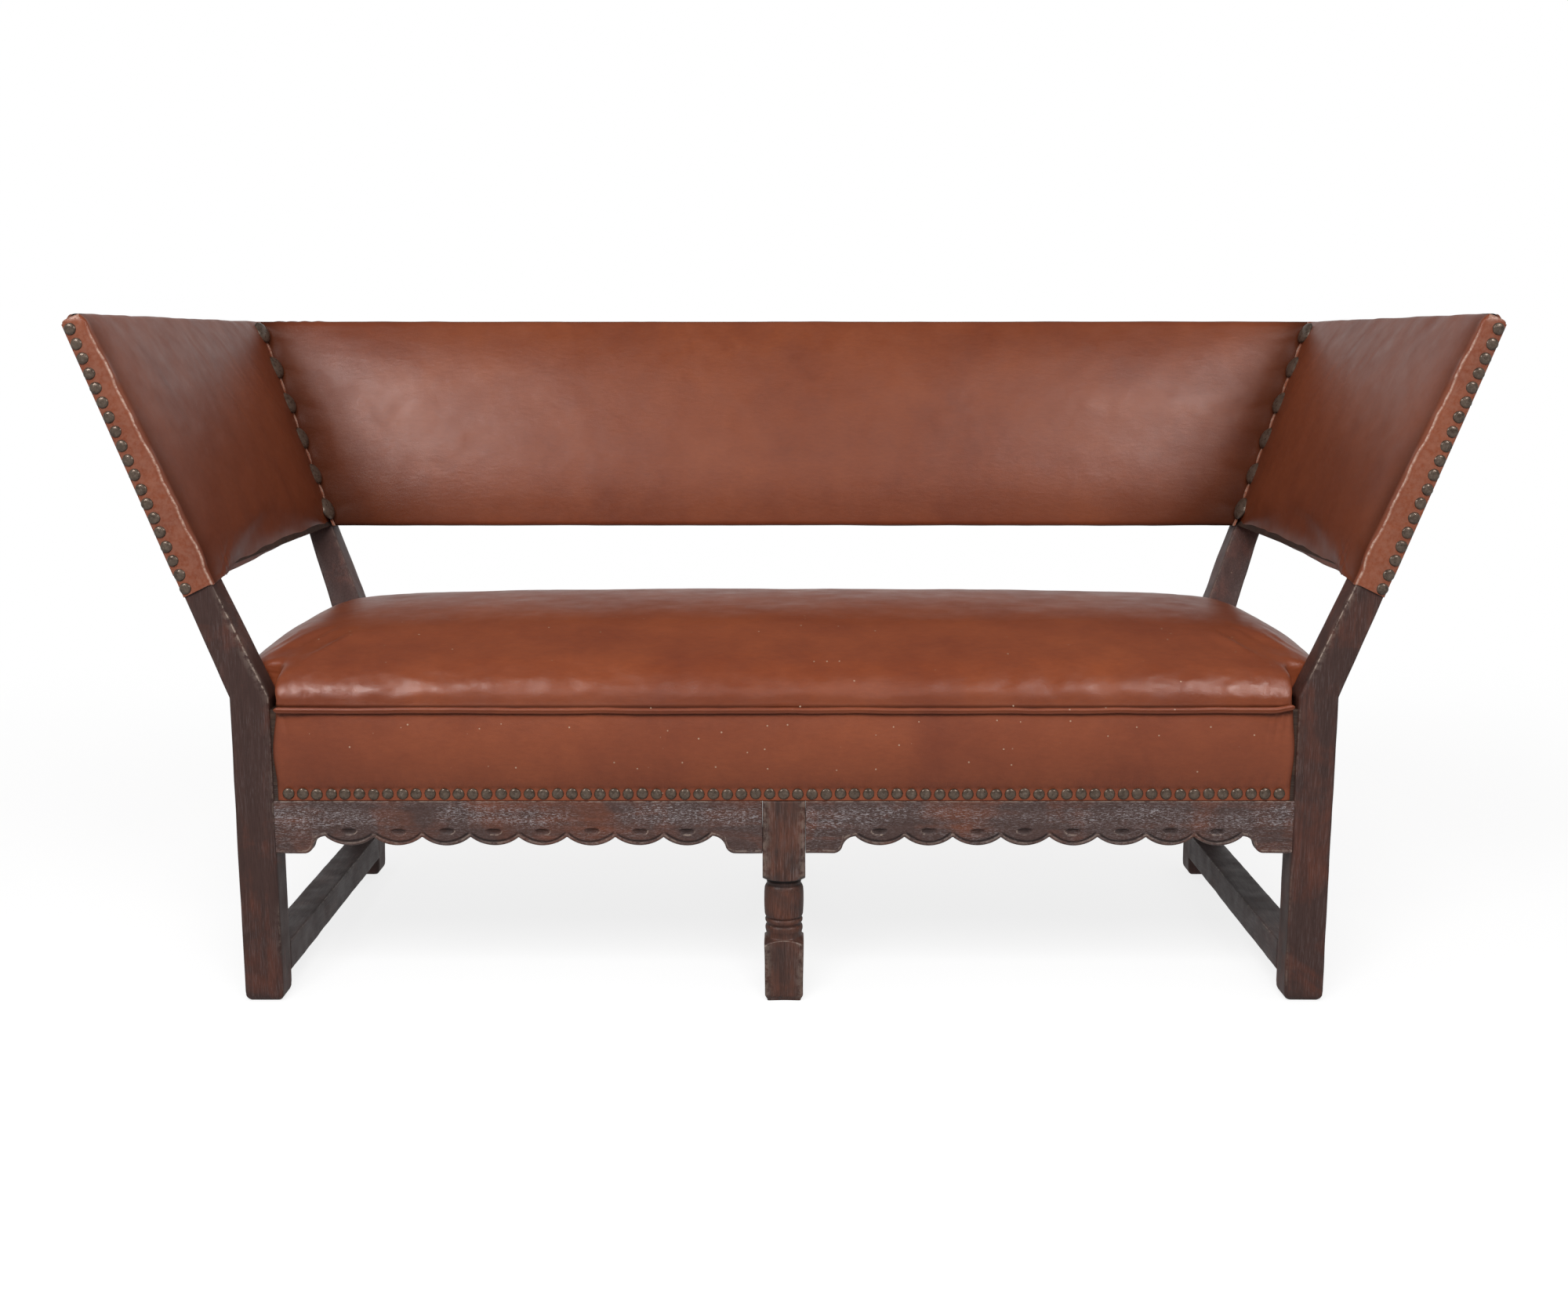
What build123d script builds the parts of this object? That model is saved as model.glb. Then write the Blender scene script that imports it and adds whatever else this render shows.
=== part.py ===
from build123d import *
import math
import os

# All sizes are in millimetres
# The settee stands on the floor at z 0, x runs along it and y runs from front to back

# Whole settee
leg_span = 1507          # outer side to outer side of the corner legs
base_depth = 650         # front of the front legs to rear of the rear legs
overall_height = 947     # floor to the top of the leather
kink_height = 434        # height where the posts leave the vertical
flare_reach = 196        # how far each post leans outward at its top
rake_reach = 204         # how far the rear posts lean back at their top

# Leather and fits
leather = 2              # thickness of the hide
edge_gap = 1             # between a leather edge and the wood that it stops at
soft_gap = 0.3           # between two soft pieces that meet
fit = 0.2                # round a tenon in its mortise
pin_fit = 0.1            # round a nail or screw in its hole
overrun = 5              # how far a cut runs past the face that it opens

# Corner posts
leg_width = 53.5
leg_depth = 50
post_top_width = 26
post_top_depth = 28
foot_inset = 6
foot_rise = 9

# Seat rails and their tenons
rail_bottom = 289
rail_height = 128
rail_thickness = 28
rail_setback = 4
tenon_thickness = 10
tenon_shoulder = 16
side_tenon_length = 30
tenon_wall = 2

# Apron halves with their carving
apron_thickness = 20
apron_setback = 1
apron_tab_drop = 74.3
apron_cusp_drop = 51
apron_tenon_height = 44
apron_tenon_length = 20
apron_tenon_thickness = 9
scallop_sag = 12
scallop_count = 8
inner_tab = 38
inner_cove = 32
outer_cove = 30.5
outer_tab = 38
groove_width = 2
groove_depth = 1.2
groove_margin = 7
gouge_length = 19
gouge_height = 8.5
gouge_depth = 2
gouge_drop = 42.3

# Turned front centre leg
centre_leg_width = 59
centre_block_height = 115
centre_foot_width = 55.5
centre_foot_height = 87
centre_tenon_width = 34
centre_tenon_height = 36
neck_radius = 23.5
barrel_radius = 27
bead_radius = 26.3
groove_radius = 24.3
shoulder_drop = 9
neck_length = 8
barrel_length = 45
bead_length = 8
bead_gap = 3

# Plain rear centre leg and side stretchers
rear_leg_width = 45
stretcher_bottom = 31
stretcher_height = 42
stretcher_width = 46
stretcher_tenon_height = 26
stretcher_tenon_length = 25
stretcher_tenon_thickness = 14

# Corner blocks inside the seat frame
block_reach = 90
block_height = 40
screw_radius = 3
screw_head_radius = 6
screw_head_height = 3
screw_depth = 28

# Back and arm frames
panel_rail_height = 48
panel_tenon_height = 15
panel_tenon_inset = 6
panel_tenon_length = 15
panel_tenon_thickness = 8
stile_width = 60
arm_stile_width = 45
stub_length = 12

# Seat suspension
strap_width = 50
strap_thickness = 1.5
strap_fold = 26
strap_lap = 8
cross_strap_count = 8
long_strap_count = 4
dust_cover_thickness = 1
deck_thickness = 1.5
spring_wire_radius = 1.8
spring_radius = 38
spring_turns = 4
spring_columns = 7
spring_rows = 3
spring_margin = 95

# Seat stuffing and cover
seat_roll = 44           # height of the seat's rolled edge above the deck
seat_end_rise = 7        # how far the seat's ends still rise past the roll
seat_crown = 106         # height of its middle above the deck
seat_overhang = 11       # how far its lower edge stands out over the rails
seat_bulge = 7           # how far the roll stands out past that edge
roll_lean = 14           # how far the roll's top lies in from the lower edge
post_clearance = 7       # between the seat's leather and the front posts

# Leather bands over the rails and the piping above them
band_swell = 15
band_flat = 21
band_top_swell = 8
band_end_draw = 5
welt_radius = 3.8
welt_setout = 10

# Padding of the arms and back
pad_edge = 6
arm_swell = 9
back_swell = 15
back_shoulder = 150      # how far from the corner the back reaches its full thickness
corner_flat = 46         # flat leather beside the corner, under the large nails
facing_drop = 14

# Nails
nail_radius = 8
nail_height = 4.8
nail_pin_radius = 1.1
nail_pin_length = 10
seat_nail_rise = 10.6
seat_nail_pitch = 19.4
arm_nail_pitch = 19
arm_nail_top = 20
arm_nail_foot = 12
arm_nail_inset = 8
corner_nail_radius = 19
corner_nail_height = 7.5
corner_nail_pin = 20
corner_nail_pitch = 59
corner_nail_top = 21
corner_nail_foot = 28
corner_nail_gap = 3
corner_strip_width = 20
corner_strip_thickness = 1.5
back_nail_inset = 12
back_nail_pitch = 19.4

# Share of the height above the seat rails that the back and arm panels leave open below them
open_share = 0.351
# Share of the rise beside an apron's tab that its rounded corner takes, before the arch
tab_corner_share = 0.41
# Shares of a panel's height and how much of its swell it has there
pad_height_shares = (0, 0.1, 0.32, 0.68, 0.9, 1)
pad_swell_shares = (0.1, 0.62, 1, 1, 0.62, 0.1)
# Shares of the seat's half length, and the power that rounds its ends off
seat_length_shares = (-1, -0.985, -0.94, -0.86, -0.65, -0.3, 0, 0.3, 0.65, 0.86, 0.94, 0.985, 1)
crown_side_power = 4
crown_round_power = 0.4
# Shares of a band's half length and how much of its swell it has there
band_length_shares = (-1, -0.9, 0.9, 1)
band_swell_shares = (0.6, 1, 1, 0.6)

# Heights and faces that follow from the sizes above
post_top = overall_height - leather
rail_top = rail_bottom + rail_height
deck_top = rail_top + deck_thickness
leg_outer = leg_span / 2
leg_inner = leg_outer - leg_width
rear_leg_front = base_depth - leg_depth
side_rail_outer = leg_outer - rail_setback
side_rail_inner = side_rail_outer - rail_thickness
front_rail_rear = rail_setback + rail_thickness
rear_rail_rear = base_depth - rail_setback
rear_rail_front = rear_rail_rear - rail_thickness
panel_bottom = rail_top + (overall_height - rail_top) * open_share
panel_rail_low_top = panel_bottom + panel_rail_height
panel_rail_high_bottom = post_top - panel_rail_height
cover_bottom = panel_bottom - leather


def lean_share(z):
    return (z - kink_height) / (post_top - kink_height)


def outer_x(z):
    return leg_outer + flare_reach * lean_share(z)


def inner_x(z):
    return leg_inner + (flare_reach + leg_width - post_top_width) * lean_share(z)


def inner_y(z):
    return rear_leg_front + rake_reach * lean_share(z)


def rear_y(z):
    return base_depth + (rake_reach + post_top_depth - leg_depth) * lean_share(z)


def shifted(side, distance):
    """The same leaning side, moved over by a distance."""
    return lambda z: side(z) + distance


def between(side_a, side_b, distance):
    """A leaning side that lies a distance past the middle of two others."""
    return lambda z: (side_a(z) + side_b(z)) / 2 + distance


def fixed(value):
    return lambda z: value


def block(x_low, x_high, y_low, y_high, z_low, z_high):
    centre = Pos((x_low + x_high) / 2, (y_low + y_high) / 2, (z_low + z_high) / 2)
    return centre * Box(x_high - x_low, y_high - y_low, z_high - z_low)


def rectangle_at(z, x_low, x_high, y_low, y_high):
    centre = Pos((x_low + x_high) / 2, (y_low + y_high) / 2, z)
    return centre * Rectangle(x_high - x_low, y_high - y_low)


def leaning_block(x_low, x_high, y_low, y_high, z_low, z_high):
    """A solid whose four sides follow leaning sides between two heights."""
    ends = [rectangle_at(z, x_low(z), x_high(z), y_low(z), y_high(z)) for z in (z_low, z_high)]
    return loft(ends, ruled=True)


def upright(points, y_low, y_high):
    """A solid between two depths with its outline given as seen from the front."""
    corners = [Vector(x, y_low, z) for x, z in points]
    face = Face(Wire.make_polygon(corners, close=True))
    return extrude(face, amount=y_high - y_low, dir=(0, 1, 0))


def closed_face(edges):
    return Face(Wire(edges))


def line(start, end):
    return Edge.make_line(start, end)


def arc(start, middle, end):
    return Edge.make_three_point_arc(start, middle, end)


def mirrored(solid):
    return mirror(solid, Plane.YZ)


def foot(x_low, x_high, y_low, y_high, inset, rise):
    """The lowest stretch of a leg, with its bottom edges eased."""
    low = rectangle_at(0, x_low + inset, x_high - inset, y_low + inset, y_high - inset)
    high = rectangle_at(rise, x_low, x_high, y_low, y_high)
    return loft([low, high], ruled=True)


parts = {}


def cut(name, tools):
    """Cut a list of tools out of a piece that is already made."""
    parts[name] = parts[name] - tools


# Posts

front_outline = [
    (leg_inner, foot_rise), (leg_outer, foot_rise), (leg_outer, kink_height),
    (outer_x(post_top), post_top), (inner_x(post_top), post_top), (leg_inner, kink_height),
]
parts["front_post_right"] = upright(front_outline, 0, leg_depth) + foot(
    leg_inner, leg_outer, 0, leg_depth, foot_inset, foot_rise)
parts["rear_post_right"] = (
    foot(leg_inner, leg_outer, rear_leg_front, base_depth, foot_inset, foot_rise)
    + block(leg_inner, leg_outer, rear_leg_front, base_depth, foot_rise, kink_height)
    + leaning_block(inner_x, outer_x, inner_y, rear_y, kink_height, post_top)
)


# Seat rails, each with a tenon at both ends

side_tenon_middle = (side_rail_inner + side_rail_outer) / 2
side_tenon_inner = side_tenon_middle - tenon_thickness / 2
long_tenon_end = side_tenon_inner - tenon_wall
tenon_low = rail_bottom + tenon_shoulder
tenon_high = rail_top - tenon_shoulder


def long_tenon(rail_middle, ease):
    """The right tenon of the front or rear rail, or with ease its mortise."""
    half = tenon_thickness / 2 + ease
    return block(leg_inner - overrun, long_tenon_end + ease, rail_middle - half, rail_middle + half,
                 tenon_low - ease, tenon_high + ease)


def side_tenon(y_low, y_high, ease):
    half = tenon_thickness / 2 + ease
    return block(side_tenon_middle - half, side_tenon_middle + half, y_low - ease, y_high + ease,
                 tenon_low - ease, tenon_high + ease)


def long_rail(y_low, y_high):
    tenon = long_tenon((y_low + y_high) / 2, 0)
    return block(-leg_inner, leg_inner, y_low, y_high, rail_bottom, rail_top) + tenon + mirrored(tenon)


parts["front_seat_rail"] = long_rail(rail_setback, front_rail_rear)
parts["rear_seat_rail"] = long_rail(rear_rail_front, rear_rail_rear)
front_side_tenon = (leg_depth - side_tenon_length, leg_depth + overrun)
rear_side_tenon = (rear_leg_front - overrun, rear_leg_front + side_tenon_length)
parts["side_seat_rail_right"] = (
    block(side_rail_inner, side_rail_outer, leg_depth, rear_leg_front, rail_bottom, rail_top)
    + side_tenon(*front_side_tenon, 0) + side_tenon(*rear_side_tenon, 0)
)
cut("front_post_right", [
    long_tenon((rail_setback + front_rail_rear) / 2, fit), side_tenon(*front_side_tenon, fit)])
cut("rear_post_right", [
    long_tenon((rear_rail_front + rear_rail_rear) / 2, fit), side_tenon(*rear_side_tenon, fit)])


# Side stretchers

def stretcher_tenon(y_low, y_high, ease):
    middle_x = leg_inner + stretcher_width / 2
    middle_z = stretcher_bottom + stretcher_height / 2
    half_x = stretcher_tenon_thickness / 2 + ease
    half_z = stretcher_tenon_height / 2 + ease
    return block(middle_x - half_x, middle_x + half_x, y_low - ease, y_high + ease,
                 middle_z - half_z, middle_z + half_z)


front_stretcher_tenon = (leg_depth - stretcher_tenon_length, leg_depth + overrun)
rear_stretcher_tenon = (rear_leg_front - overrun, rear_leg_front + stretcher_tenon_length)
parts["side_stretcher_right"] = (
    block(leg_inner, leg_inner + stretcher_width, leg_depth, rear_leg_front,
          stretcher_bottom, stretcher_bottom + stretcher_height)
    + stretcher_tenon(*front_stretcher_tenon, 0) + stretcher_tenon(*rear_stretcher_tenon, 0)
)
cut("front_post_right", [stretcher_tenon(*front_stretcher_tenon, fit)])
cut("rear_post_right", [stretcher_tenon(*rear_stretcher_tenon, fit)])


# Centre legs

def leg_tenon(middle_y, ease):
    """The tenon on top of a centre leg, or with ease its mortise in the rail."""
    half_x = centre_tenon_width / 2 + ease
    half_y = tenon_thickness / 2 + ease
    return block(-half_x, half_x, middle_y - half_y, middle_y + half_y,
                 rail_bottom - overrun, rail_bottom + centre_tenon_height + ease)


def turned_middle(axis_y):
    """The turned stretch between the two square blocks, revolved from its profile."""
    top = rail_bottom - centre_block_height
    barrel_top = top - neck_length - bead_gap
    barrel_low = barrel_top - barrel_length
    bead_top = barrel_low - bead_gap
    bead_low = bead_top - bead_length
    ring_top = bead_low - bead_gap
    ring_low = ring_top - bead_length
    foot_radius = centre_foot_width / 2

    def at(radius, z):
        return Vector(radius, axis_y, z)

    profile = [
        line(at(0, top + overrun), at(neck_radius, top + overrun)),
        line(at(neck_radius, top + overrun), at(neck_radius, top - neck_length)),
        arc(at(neck_radius, top - neck_length),
            at((neck_radius + barrel_radius) / 2 + bead_gap / 4, top - neck_length - bead_gap / 2),
            at(barrel_radius, barrel_top)),
        line(at(barrel_radius, barrel_top), at(barrel_radius, barrel_low)),
        line(at(barrel_radius, barrel_low), at(groove_radius, bead_top)),
        arc(at(groove_radius, bead_top), at(bead_radius, (bead_top + bead_low) / 2),
            at(groove_radius, bead_low)),
        line(at(groove_radius, bead_low), at(groove_radius, ring_top)),
        arc(at(groove_radius, ring_top), at(bead_radius, (ring_top + ring_low) / 2),
            at(groove_radius, ring_low)),
        line(at(groove_radius, ring_low), at(foot_radius, centre_foot_height)),
        line(at(foot_radius, centre_foot_height), at(foot_radius, centre_foot_height - overrun)),
        line(at(foot_radius, centre_foot_height - overrun), at(0, centre_foot_height - overrun)),
        line(at(0, centre_foot_height - overrun), at(0, top + overrun)),
    ]
    return revolve(closed_face(profile), Axis((0, axis_y, 0), (0, 0, 1)))


def shouldered_foot(axis_y):
    """The square foot, its upper corners turned away so that each face ends in an arc."""
    half = centre_foot_width / 2
    square = block(-half, half, axis_y - half, axis_y + half, foot_rise, centre_foot_height)
    eased = foot(-half, half, axis_y - half, axis_y + half, foot_inset / 3, foot_rise)
    corner_radius = half * math.sqrt(2)

    def at(radius, z):
        return Vector(radius, axis_y, z)

    low = centre_foot_height - shoulder_drop
    cap = closed_face([
        line(at(0, foot_rise - overrun), at(corner_radius, foot_rise - overrun)),
        line(at(corner_radius, foot_rise - overrun), at(corner_radius, low)),
        line(at(corner_radius, low), at(half, centre_foot_height)),
        line(at(half, centre_foot_height), at(0, centre_foot_height)),
        line(at(0, centre_foot_height), at(0, foot_rise - overrun)),
    ])
    return (square & revolve(cap, Axis((0, axis_y, 0), (0, 0, 1)))) + eased


front_rail_middle = (rail_setback + front_rail_rear) / 2
rear_rail_middle = (rear_rail_front + rear_rail_rear) / 2
centre_half = centre_leg_width / 2
parts["front_centre_leg"] = (
    block(-centre_half, centre_half, 0, centre_leg_width, rail_bottom - centre_block_height, rail_bottom)
    + turned_middle(centre_half) + shouldered_foot(centre_half) + leg_tenon(front_rail_middle, 0)
)
rear_half = rear_leg_width / 2
rear_leg_y = (rear_rail_rear - rear_leg_width, rear_rail_rear)
parts["rear_centre_leg"] = (
    foot(-rear_half, rear_half, *rear_leg_y, foot_inset, foot_rise)
    + block(-rear_half, rear_half, *rear_leg_y, foot_rise, rail_bottom)
    + leg_tenon(rear_rail_middle, 0)
)
cut("front_seat_rail", [leg_tenon(front_rail_middle, fit)])
cut("rear_seat_rail", [leg_tenon(rear_rail_middle, fit)])


# Carved apron, one half each side of the front centre leg

apron_low = rail_bottom - apron_tab_drop
apron_cusp = rail_bottom - apron_cusp_drop
scallop_start = centre_half + inner_tab + inner_cove
scallop_pitch = (leg_inner - outer_tab - outer_cove - scallop_start) / scallop_count
scallop_radius = ((scallop_pitch / 2) ** 2 + scallop_sag ** 2) / (2 * scallop_sag)
scallop_turn = math.asin(scallop_pitch / 2 / scallop_radius)
apron_front = apron_setback
apron_rear = apron_setback + apron_thickness


def scallop_point(index, radius, turn):
    """A point on an arc about the centre of one scallop, the turn counted from straight down."""
    x = scallop_start + scallop_pitch * index + scallop_pitch / 2
    z = apron_cusp - scallop_sag + scallop_radius
    return Vector(x + radius * math.sin(turn), apron_front, z - radius * math.cos(turn))


def tab_step(foot, cusp):
    """The rise from a tab's foot to the first cusp: a rounded corner, then a small arch."""
    middle = foot + (cusp - foot) * tab_corner_share
    onward = Vector(cusp.X - foot.X, 0, 0)
    return [Edge.make_tangent_arc(foot, onward, middle), Edge.make_tangent_arc(cusp, -onward, middle)]


def apron_outline():
    def at(x, z):
        return Vector(x, apron_front, z)

    outer_tab_start = leg_inner - outer_tab
    scallop_end = outer_tab_start - outer_cove
    tab_end = centre_half + inner_tab
    edges = [
        line(at(centre_half, rail_bottom), at(leg_inner, rail_bottom)),
        line(at(leg_inner, rail_bottom), at(leg_inner, apron_low)),
        line(at(leg_inner, apron_low), at(outer_tab_start, apron_low)),
        *tab_step(at(outer_tab_start, apron_low), at(scallop_end, apron_cusp)),
    ]
    for index in reversed(range(scallop_count)):
        edges.append(arc(*(scallop_point(index, scallop_radius, turn)
                           for turn in (scallop_turn, 0, -scallop_turn))))
    edges += [
        *tab_step(at(tab_end, apron_low), at(scallop_start, apron_cusp)),
        line(at(tab_end, apron_low), at(centre_half, apron_low)),
        line(at(centre_half, apron_low), at(centre_half, rail_bottom)),
    ]
    return closed_face(edges)


def scallop_groove(index):
    """The incised line that follows the edge of one scallop."""
    outer = scallop_radius - groove_margin
    inner = outer - groove_width
    turns = (scallop_turn, 0, -scallop_turn)
    far = [scallop_point(index, outer, turn) for turn in turns]
    near = [scallop_point(index, inner, turn) for turn in turns]
    face = closed_face([arc(*far), line(far[-1], near[-1]), arc(*reversed(near)), line(near[0], far[0])])
    return extrude(face, amount=groove_depth, dir=(0, 1, 0))


def gouge(index):
    """The oval hollow cut over the middle of one scallop."""
    x = scallop_start + scallop_pitch * index + scallop_pitch / 2
    face = Plane(origin=(x, apron_front, rail_bottom - gouge_drop), z_dir=(0, 1, 0)) * Ellipse(
        gouge_length / 2, gouge_height / 2)
    return extrude(face, amount=gouge_depth)


def apron_tenon(x_low, x_high, ease):
    middle_y = (apron_front + apron_rear) / 2
    half_y = apron_tenon_thickness / 2 + ease
    z_high = rail_bottom - tenon_shoulder
    return block(x_low - ease, x_high + ease, middle_y - half_y, middle_y + half_y,
                 z_high - apron_tenon_height - ease, z_high + ease)


outer_apron_tenon = (leg_inner - overrun, leg_inner + apron_tenon_length)
inner_apron_tenon = (centre_half - apron_tenon_length, centre_half + overrun)
carving = [scallop_groove(index) for index in range(scallop_count)]
carving += [gouge(index) for index in range(scallop_count)]
apron = extrude(apron_outline(), amount=apron_thickness, dir=(0, 1, 0)) - carving
parts["apron_right"] = apron + apron_tenon(*outer_apron_tenon, 0) + apron_tenon(*inner_apron_tenon, 0)
cut("front_post_right", [apron_tenon(*outer_apron_tenon, fit)])
inner_mortise = apron_tenon(*inner_apron_tenon, fit)
cut("front_centre_leg", [inner_mortise, mirrored(inner_mortise)])


# Frames of the back and arms, their tenons stacked in height where they meet in the rear posts

def panel_rails():
    """Lower height of each pair of panel rails."""
    return {"bottom": panel_bottom, "top": panel_rail_high_bottom}


def back_tenon(z_rail, ease):
    z_low = z_rail + panel_tenon_inset
    half = panel_tenon_thickness / 2 + ease
    return leaning_block(shifted(inner_x, -overrun), shifted(inner_x, panel_tenon_length + ease),
                         between(inner_y, rear_y, -half), between(inner_y, rear_y, half),
                         z_low - ease, z_low + panel_tenon_height + ease)


def arm_tenon(z_rail, y_low, y_high, ease):
    z_high = z_rail + panel_rail_height - panel_tenon_inset
    half = panel_tenon_thickness / 2 + ease
    return leaning_block(between(inner_x, outer_x, -half), between(inner_x, outer_x, half),
                         shifted(y_low, -ease), shifted(y_high, ease),
                         z_high - panel_tenon_height - ease, z_high + ease)


def stub(x_low, x_high, y_low, y_high, z_low, z_high, ease):
    """A short tenon on the end of a stile, drawn in from the stile's own sides."""
    inset = panel_tenon_thickness - ease
    return leaning_block(shifted(x_low, inset), shifted(x_high, -inset),
                         shifted(y_low, inset), shifted(y_high, -inset), z_low - ease, z_high + ease)


def stile(sides, ease):
    """The two stub tenons of a stile that stands between the panel rails."""
    low = stub(*sides, panel_rail_low_top - stub_length, panel_rail_low_top + overrun, ease)
    high = stub(*sides, panel_rail_high_bottom - overrun, panel_rail_high_bottom + stub_length, ease)
    return [low, high]


front_arm_tenon = (fixed(leg_depth - panel_tenon_length), fixed(leg_depth + overrun))
rear_arm_tenon = (shifted(inner_y, -overrun), shifted(inner_y, panel_tenon_length))
for level, z_rail in panel_rails().items():
    z_top = z_rail + panel_rail_height
    tenon = back_tenon(z_rail, 0)
    parts["back_" + level + "_rail"] = (
        leaning_block(lambda z: -inner_x(z), inner_x, inner_y, rear_y, z_rail, z_top)
        + tenon + mirrored(tenon)
    )
    parts["arm_" + level + "_rail_right"] = (
        leaning_block(inner_x, outer_x, fixed(leg_depth), inner_y, z_rail, z_top)
        + arm_tenon(z_rail, *front_arm_tenon, 0) + arm_tenon(z_rail, *rear_arm_tenon, 0)
    )
    cut("front_post_right", [arm_tenon(z_rail, *front_arm_tenon, fit)])
    cut("rear_post_right", [arm_tenon(z_rail, *rear_arm_tenon, fit), back_tenon(z_rail, fit)])

back_stile_sides = (fixed(-stile_width / 2), fixed(stile_width / 2), inner_y, rear_y)
arm_stile_sides = (inner_x, outer_x, shifted(inner_y, -arm_stile_width), inner_y)
for name, sides, rails in (
    ("back_centre_stile", back_stile_sides, ("back_bottom_rail", "back_top_rail")),
    ("arm_rear_stile_right", arm_stile_sides, ("arm_bottom_rail_right", "arm_top_rail_right")),
):
    body = leaning_block(*sides, panel_rail_low_top, panel_rail_high_bottom)
    tenons = stile(sides, 0)
    parts[name] = body + tenons[0] + tenons[1]
    for rail_name, mortise in zip(rails, stile(sides, fit)):
        cut(rail_name, [mortise])


# Corner blocks, each held to its post by one long screw

block_low = (rail_bottom + rail_top - block_height) / 2
screw_height = block_low + block_height / 2
block_corners = [
    (side_rail_inner - block_reach, front_rail_rear), (leg_inner, front_rail_rear), (leg_inner, leg_depth),
    (side_rail_inner, leg_depth), (side_rail_inner, front_rail_rear + block_reach),
]
screw_plane = Plane(
    origin=((block_corners[0][0] + block_corners[-1][0]) / 2,
            (block_corners[0][1] + block_corners[-1][1]) / 2, screw_height),
    z_dir=(1, -1, 0))
block_face = Face(Wire.make_polygon([Vector(x, y, block_low) for x, y in block_corners], close=True))
corner_block = extrude(block_face, amount=block_height, dir=(0, 0, 1))
screw_length = math.dist((screw_plane.origin.X, screw_plane.origin.Y), (leg_inner, leg_depth)) + screw_depth


def screw(ease):
    shank = Cylinder(screw_radius + ease, screw_length + ease, align=(Align.CENTER, Align.CENTER, Align.MIN))
    return screw_plane * shank


screw_head = screw_plane * Cylinder(
    screw_head_radius, screw_head_height, align=(Align.CENTER, Align.CENTER, Align.MAX))
right_screw = screw(0) + screw_head
corner_block = corner_block - screw(pin_fit)
cut("front_post_right", [screw(pin_fit)])
mid_depth = Plane.XZ.offset(-base_depth / 2)
cut("rear_post_right", [mirror(screw(pin_fit), mid_depth)])


def four_corners(solid):
    """One solid repeated in all four corners of the seat frame."""
    rear = mirror(solid, mid_depth)
    return [solid, mirrored(solid), rear, mirrored(rear)]


parts["corner_blocks"] = four_corners(corner_block)
parts["block_screws"] = four_corners(right_screw)


# Webbing under the rails, with the dust cover below it

strap_layer_low = rail_bottom - strap_thickness
strap_layer_lower = strap_layer_low - strap_thickness
strap_front = apron_rear + edge_gap
strap_rear = rear_rail_front + strap_lap
cross_half = strap_width / 2
cross_span = 2 * (side_rail_inner - strap_width)
parts["webbing_front_to_back"] = [
    block(x - cross_half, x + cross_half, strap_front, strap_rear, strap_layer_low, rail_bottom)
    for x in (cross_span * (step + 0.5) / cross_strap_count - cross_span / 2
              for step in range(cross_strap_count))
]
long_front = max(centre_leg_width, leg_depth) + strap_width
long_rear = min(rear_leg_y[0], rear_leg_front) - strap_width
long_end = side_rail_inner + strap_lap


def long_strap(y):
    """A strap along the seat, each end folded double under its rail."""
    strap = block(-long_end, long_end, y - cross_half, y + cross_half, strap_layer_lower, strap_layer_low)
    fold = block(long_end - strap_fold, long_end, y - cross_half, y + cross_half,
                 strap_layer_low, rail_bottom)
    return strap + fold + mirrored(fold)


parts["webbing_side_to_side"] = [
    long_strap(long_front + (long_rear - long_front) * step / (long_strap_count - 1))
    for step in range(long_strap_count)
]
dust_half = side_rail_outer - strap_lap
dust_low = strap_layer_lower - dust_cover_thickness
dust_cover = block(-dust_half, dust_half, strap_front, rear_rail_rear - strap_lap,
                   dust_low, strap_layer_lower)


def leg_notch(x_low, x_high, y_low, y_high, gap, z_low, z_high):
    """Room for a leg, with a gap round it."""
    return block(x_low - gap, x_high + gap, y_low - gap, y_high + gap, z_low, z_high)


def post_notches(gap, z_low, z_high):
    """Room for all four corner legs in a layer of the seat."""
    reach = 2 * seat_overhang
    notches = []
    for y_low, y_high in ((-gap - reach, leg_depth), (rear_leg_front, base_depth + reach)):
        notch = leg_notch(leg_inner, leg_outer + reach, y_low, y_high, gap, z_low, z_high)
        notches += [notch, mirrored(notch)]
    return notches


parts["dust_cover"] = dust_cover - post_notches(edge_gap, dust_low - overrun, rail_bottom) - [
    leg_notch(-centre_half, centre_half, 0, centre_leg_width, edge_gap, dust_low - overrun, rail_bottom),
    leg_notch(-rear_half, rear_half, *rear_leg_y, edge_gap, dust_low - overrun, rail_bottom),
]


# Coil springs between the webbing and the hessian deck

def coil_spring():
    height = rail_height - 2 * spring_wire_radius
    helix = Helix(pitch=height / spring_turns, height=height, radius=spring_radius)
    start = Plane(origin=helix @ 0, z_dir=helix % 0)
    return sweep(start * Circle(spring_wire_radius), path=helix)


spring = coil_spring()
spring_half = side_rail_inner - block_reach - spring_margin / 2
spring_front = front_rail_rear + spring_margin
spring_depth = rear_rail_front - spring_margin - spring_front
spring_base = rail_bottom + spring_wire_radius
parts["seat_springs"] = [
    Pos(spring_half * (2 * column / (spring_columns - 1) - 1),
        spring_front + spring_depth * row / (spring_rows - 1), spring_base) * spring
    for column in range(spring_columns) for row in range(spring_rows)
]
spring_pitch = rail_height / spring_turns
print("least gap between turns of a spring:", round(spring_pitch - 2 * spring_wire_radius, 1))

deck_half = side_rail_outer
parts["hessian_deck"] = block(
    -deck_half, deck_half, rail_setback, rear_rail_rear, rail_top, deck_top
) - post_notches(edge_gap, rail_top - overrun, deck_top + overrun)


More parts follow.
